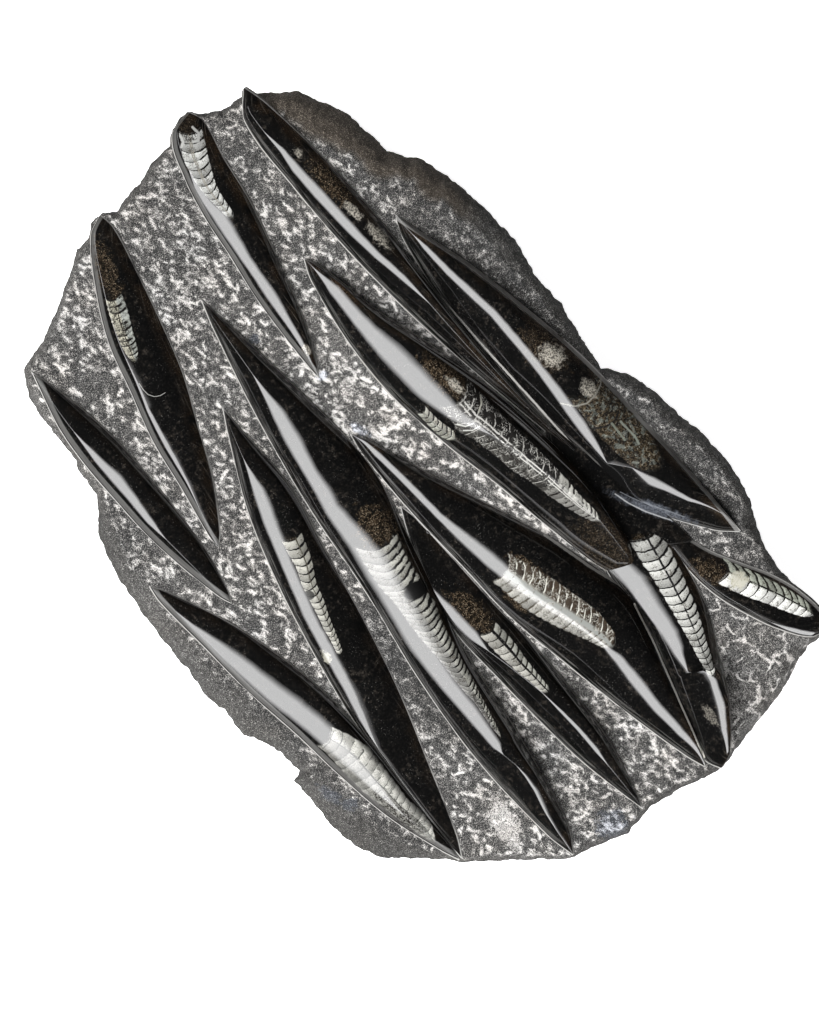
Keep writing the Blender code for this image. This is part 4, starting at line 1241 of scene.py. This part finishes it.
def ground_heights(points, edge_index, edge_distance, rim, pit):
    """Height of the top surface, and how far each point belongs to the plain broken rim."""
    flat = np.column_stack([points, np.zeros(len(points))])
    share = np.clip(SHOULDER_SHARE + (1 - SHOULDER_SHARE) * edge_distance / (rim[edge_index] * 0.65), 0, 1)
    base = smooth_line(share, (0, SHOULDER_SHARE, 1), (BELLY, SHOULDER, GROUND))
    rimness = np.clip((1 - share) / 0.25, 0, 1)
    swell = 0.7 * MM * rock_noise(flat, 34 * MM, 2, 1.0)
    lumps = 0.35 * MM * rock_noise(flat, 6 * MM, 3, 2.0)
    facets = 1.3 * MM * np.abs(rock_noise(flat, 9 * MM, 4, 5.0)) * rimness
    return base + swell + lumps + facets - PECK_DEPTH * pit * (1 - rimness), rimness


def top_surface(shoulder, rim, rng):
    """Points, triangles and attributes of the top, whose first points are the shoulder ring's."""
    fine = ground_grid(shoulder, GROUND_STEP, rng)
    fine = fine[ridge_depth(fine) < HIDDEN_DEPTH]
    coarse = ground_grid(shoulder, HIDDEN_STEP, rng)
    coarse = coarse[ridge_depth(coarse) >= HIDDEN_DEPTH + HIDDEN_STEP / 3]
    inner = np.vstack([fine, coarse])
    index, distance = nearest_edge(inner, shoulder)
    clear = distance > 0.6 * GROUND_STEP
    inner, index, distance = inner[clear], index[clear], distance[clear]
    low, pale, pit = fleck_maps(rng)
    heights, rimness = ground_heights(inner, index, distance, rim, sample_map(inner, low, pit))
    points = np.vstack([shoulder, inner])
    count = len(shoulder)
    edges = [(i, (i + 1) % count) for i in range(count)]
    found = delaunay_2d_cdt([Vector(p) for p in points.tolist()], edges, [tuple(range(count))], 1, 1e-9)
    assert len(found[0]) == len(points), "the triangulation moved or merged a point"
    flecks = np.concatenate([np.zeros(count), sample_map(inner, low, pale)])
    rimness = np.concatenate([np.ones(count), rimness])
    return inner, heights, found[2], flecks, rimness


def side_rows(ring, inward, rim):
    """Rings of points up the broken sides, from the back to the shoulder."""
    rows = []
    for height in np.linspace(0, SHOULDER, SIDE_ROWS):
        inset = smooth_line(height, (0, BELLY, SHOULDER), (UNDERCUT, 0.0, 0.0))
        inset = inset + rim * SHOULDER_SHARE * max(0.0, (height - BELLY) / (SHOULDER - BELLY)) ** 1.5
        level = np.column_stack([ring, np.full(len(ring), height)])
        lumps = np.abs(rock_noise(level, 8 * MM, 4, 9.0)) * 1.6 * MM
        grain = rock_noise(level, 2.5 * MM, 2, 4.0) * 0.25 * MM
        place = ring + inward * (inset + lumps + grain - 0.2 * MM)[:, None]
        rows.append(np.column_stack([place, level[:, 2]]))
    return rows


def side_faces(count):
    """Faces between the side's rings of count points each, and their texture coordinates."""
    faces, corners = [], []
    for row in range(SIDE_ROWS - 1):
        a, b = row * count, (row + 1) * count
        v0, v1 = (0.67 + 0.13 * line / (SIDE_ROWS - 1) for line in (row, row + 1))
        for i in range(count):
            j, u0, u1 = (i + 1) % count, i / count, (i + 1) / count
            faces.append((a + j, a + i, b + i, b + j))
            corners.extend(((u1, v0), (u0, v0), (u0, v1), (u1, v1)))
    return faces, corners


def build_ground(material):
    """The slab without its ridges, as one closed mesh: chiselled top, broken sides, sawn back."""
    ring, inward, rim = edge_points()
    rows = side_rows(ring, inward, rim)
    rng = np.random.default_rng(GROUND_SEED)
    inner, heights, triangles, flecks, rimness = top_surface(rows[-1][:, :2], rim, rng)
    points = np.vstack([*rows, np.column_stack([inner, heights])])
    count = len(ring)
    faces, corners = side_faces(count)
    flat = (points[:, :2] - points[:, :2].min(0)) / np.ptp(points[:, :2], axis=0)
    below_top = count * (SIDE_ROWS - 1)
    top = [tuple(below_top + v for v in triangle) for triangle in triangles]
    faces.extend(top)
    corners.extend((flat[v, 1], 0.64 * flat[v, 0]) for triangle in top for v in triangle)
    faces.append(tuple(range(count)))
    corners.extend((flat[v, 1], 0.82 + 0.17 * flat[v, 0]) for v in range(count))
    made = link_mesh("ground", points, faces, corners, material)
    attribute(made, "fleck", np.concatenate([np.zeros(below_top), flecks]))
    attribute(made, "rim", np.concatenate([np.ones(below_top), rimness]))
    attribute(made, "shade", shade_depth(points[:, :2]))


def main():
    for ridge in (*RIDGES, SADDLE):
        build_ridge(ridge)
    build_ground(ground_material())
    build_floor()
    build_softbox()
    build_world()
    build_camera()


main()
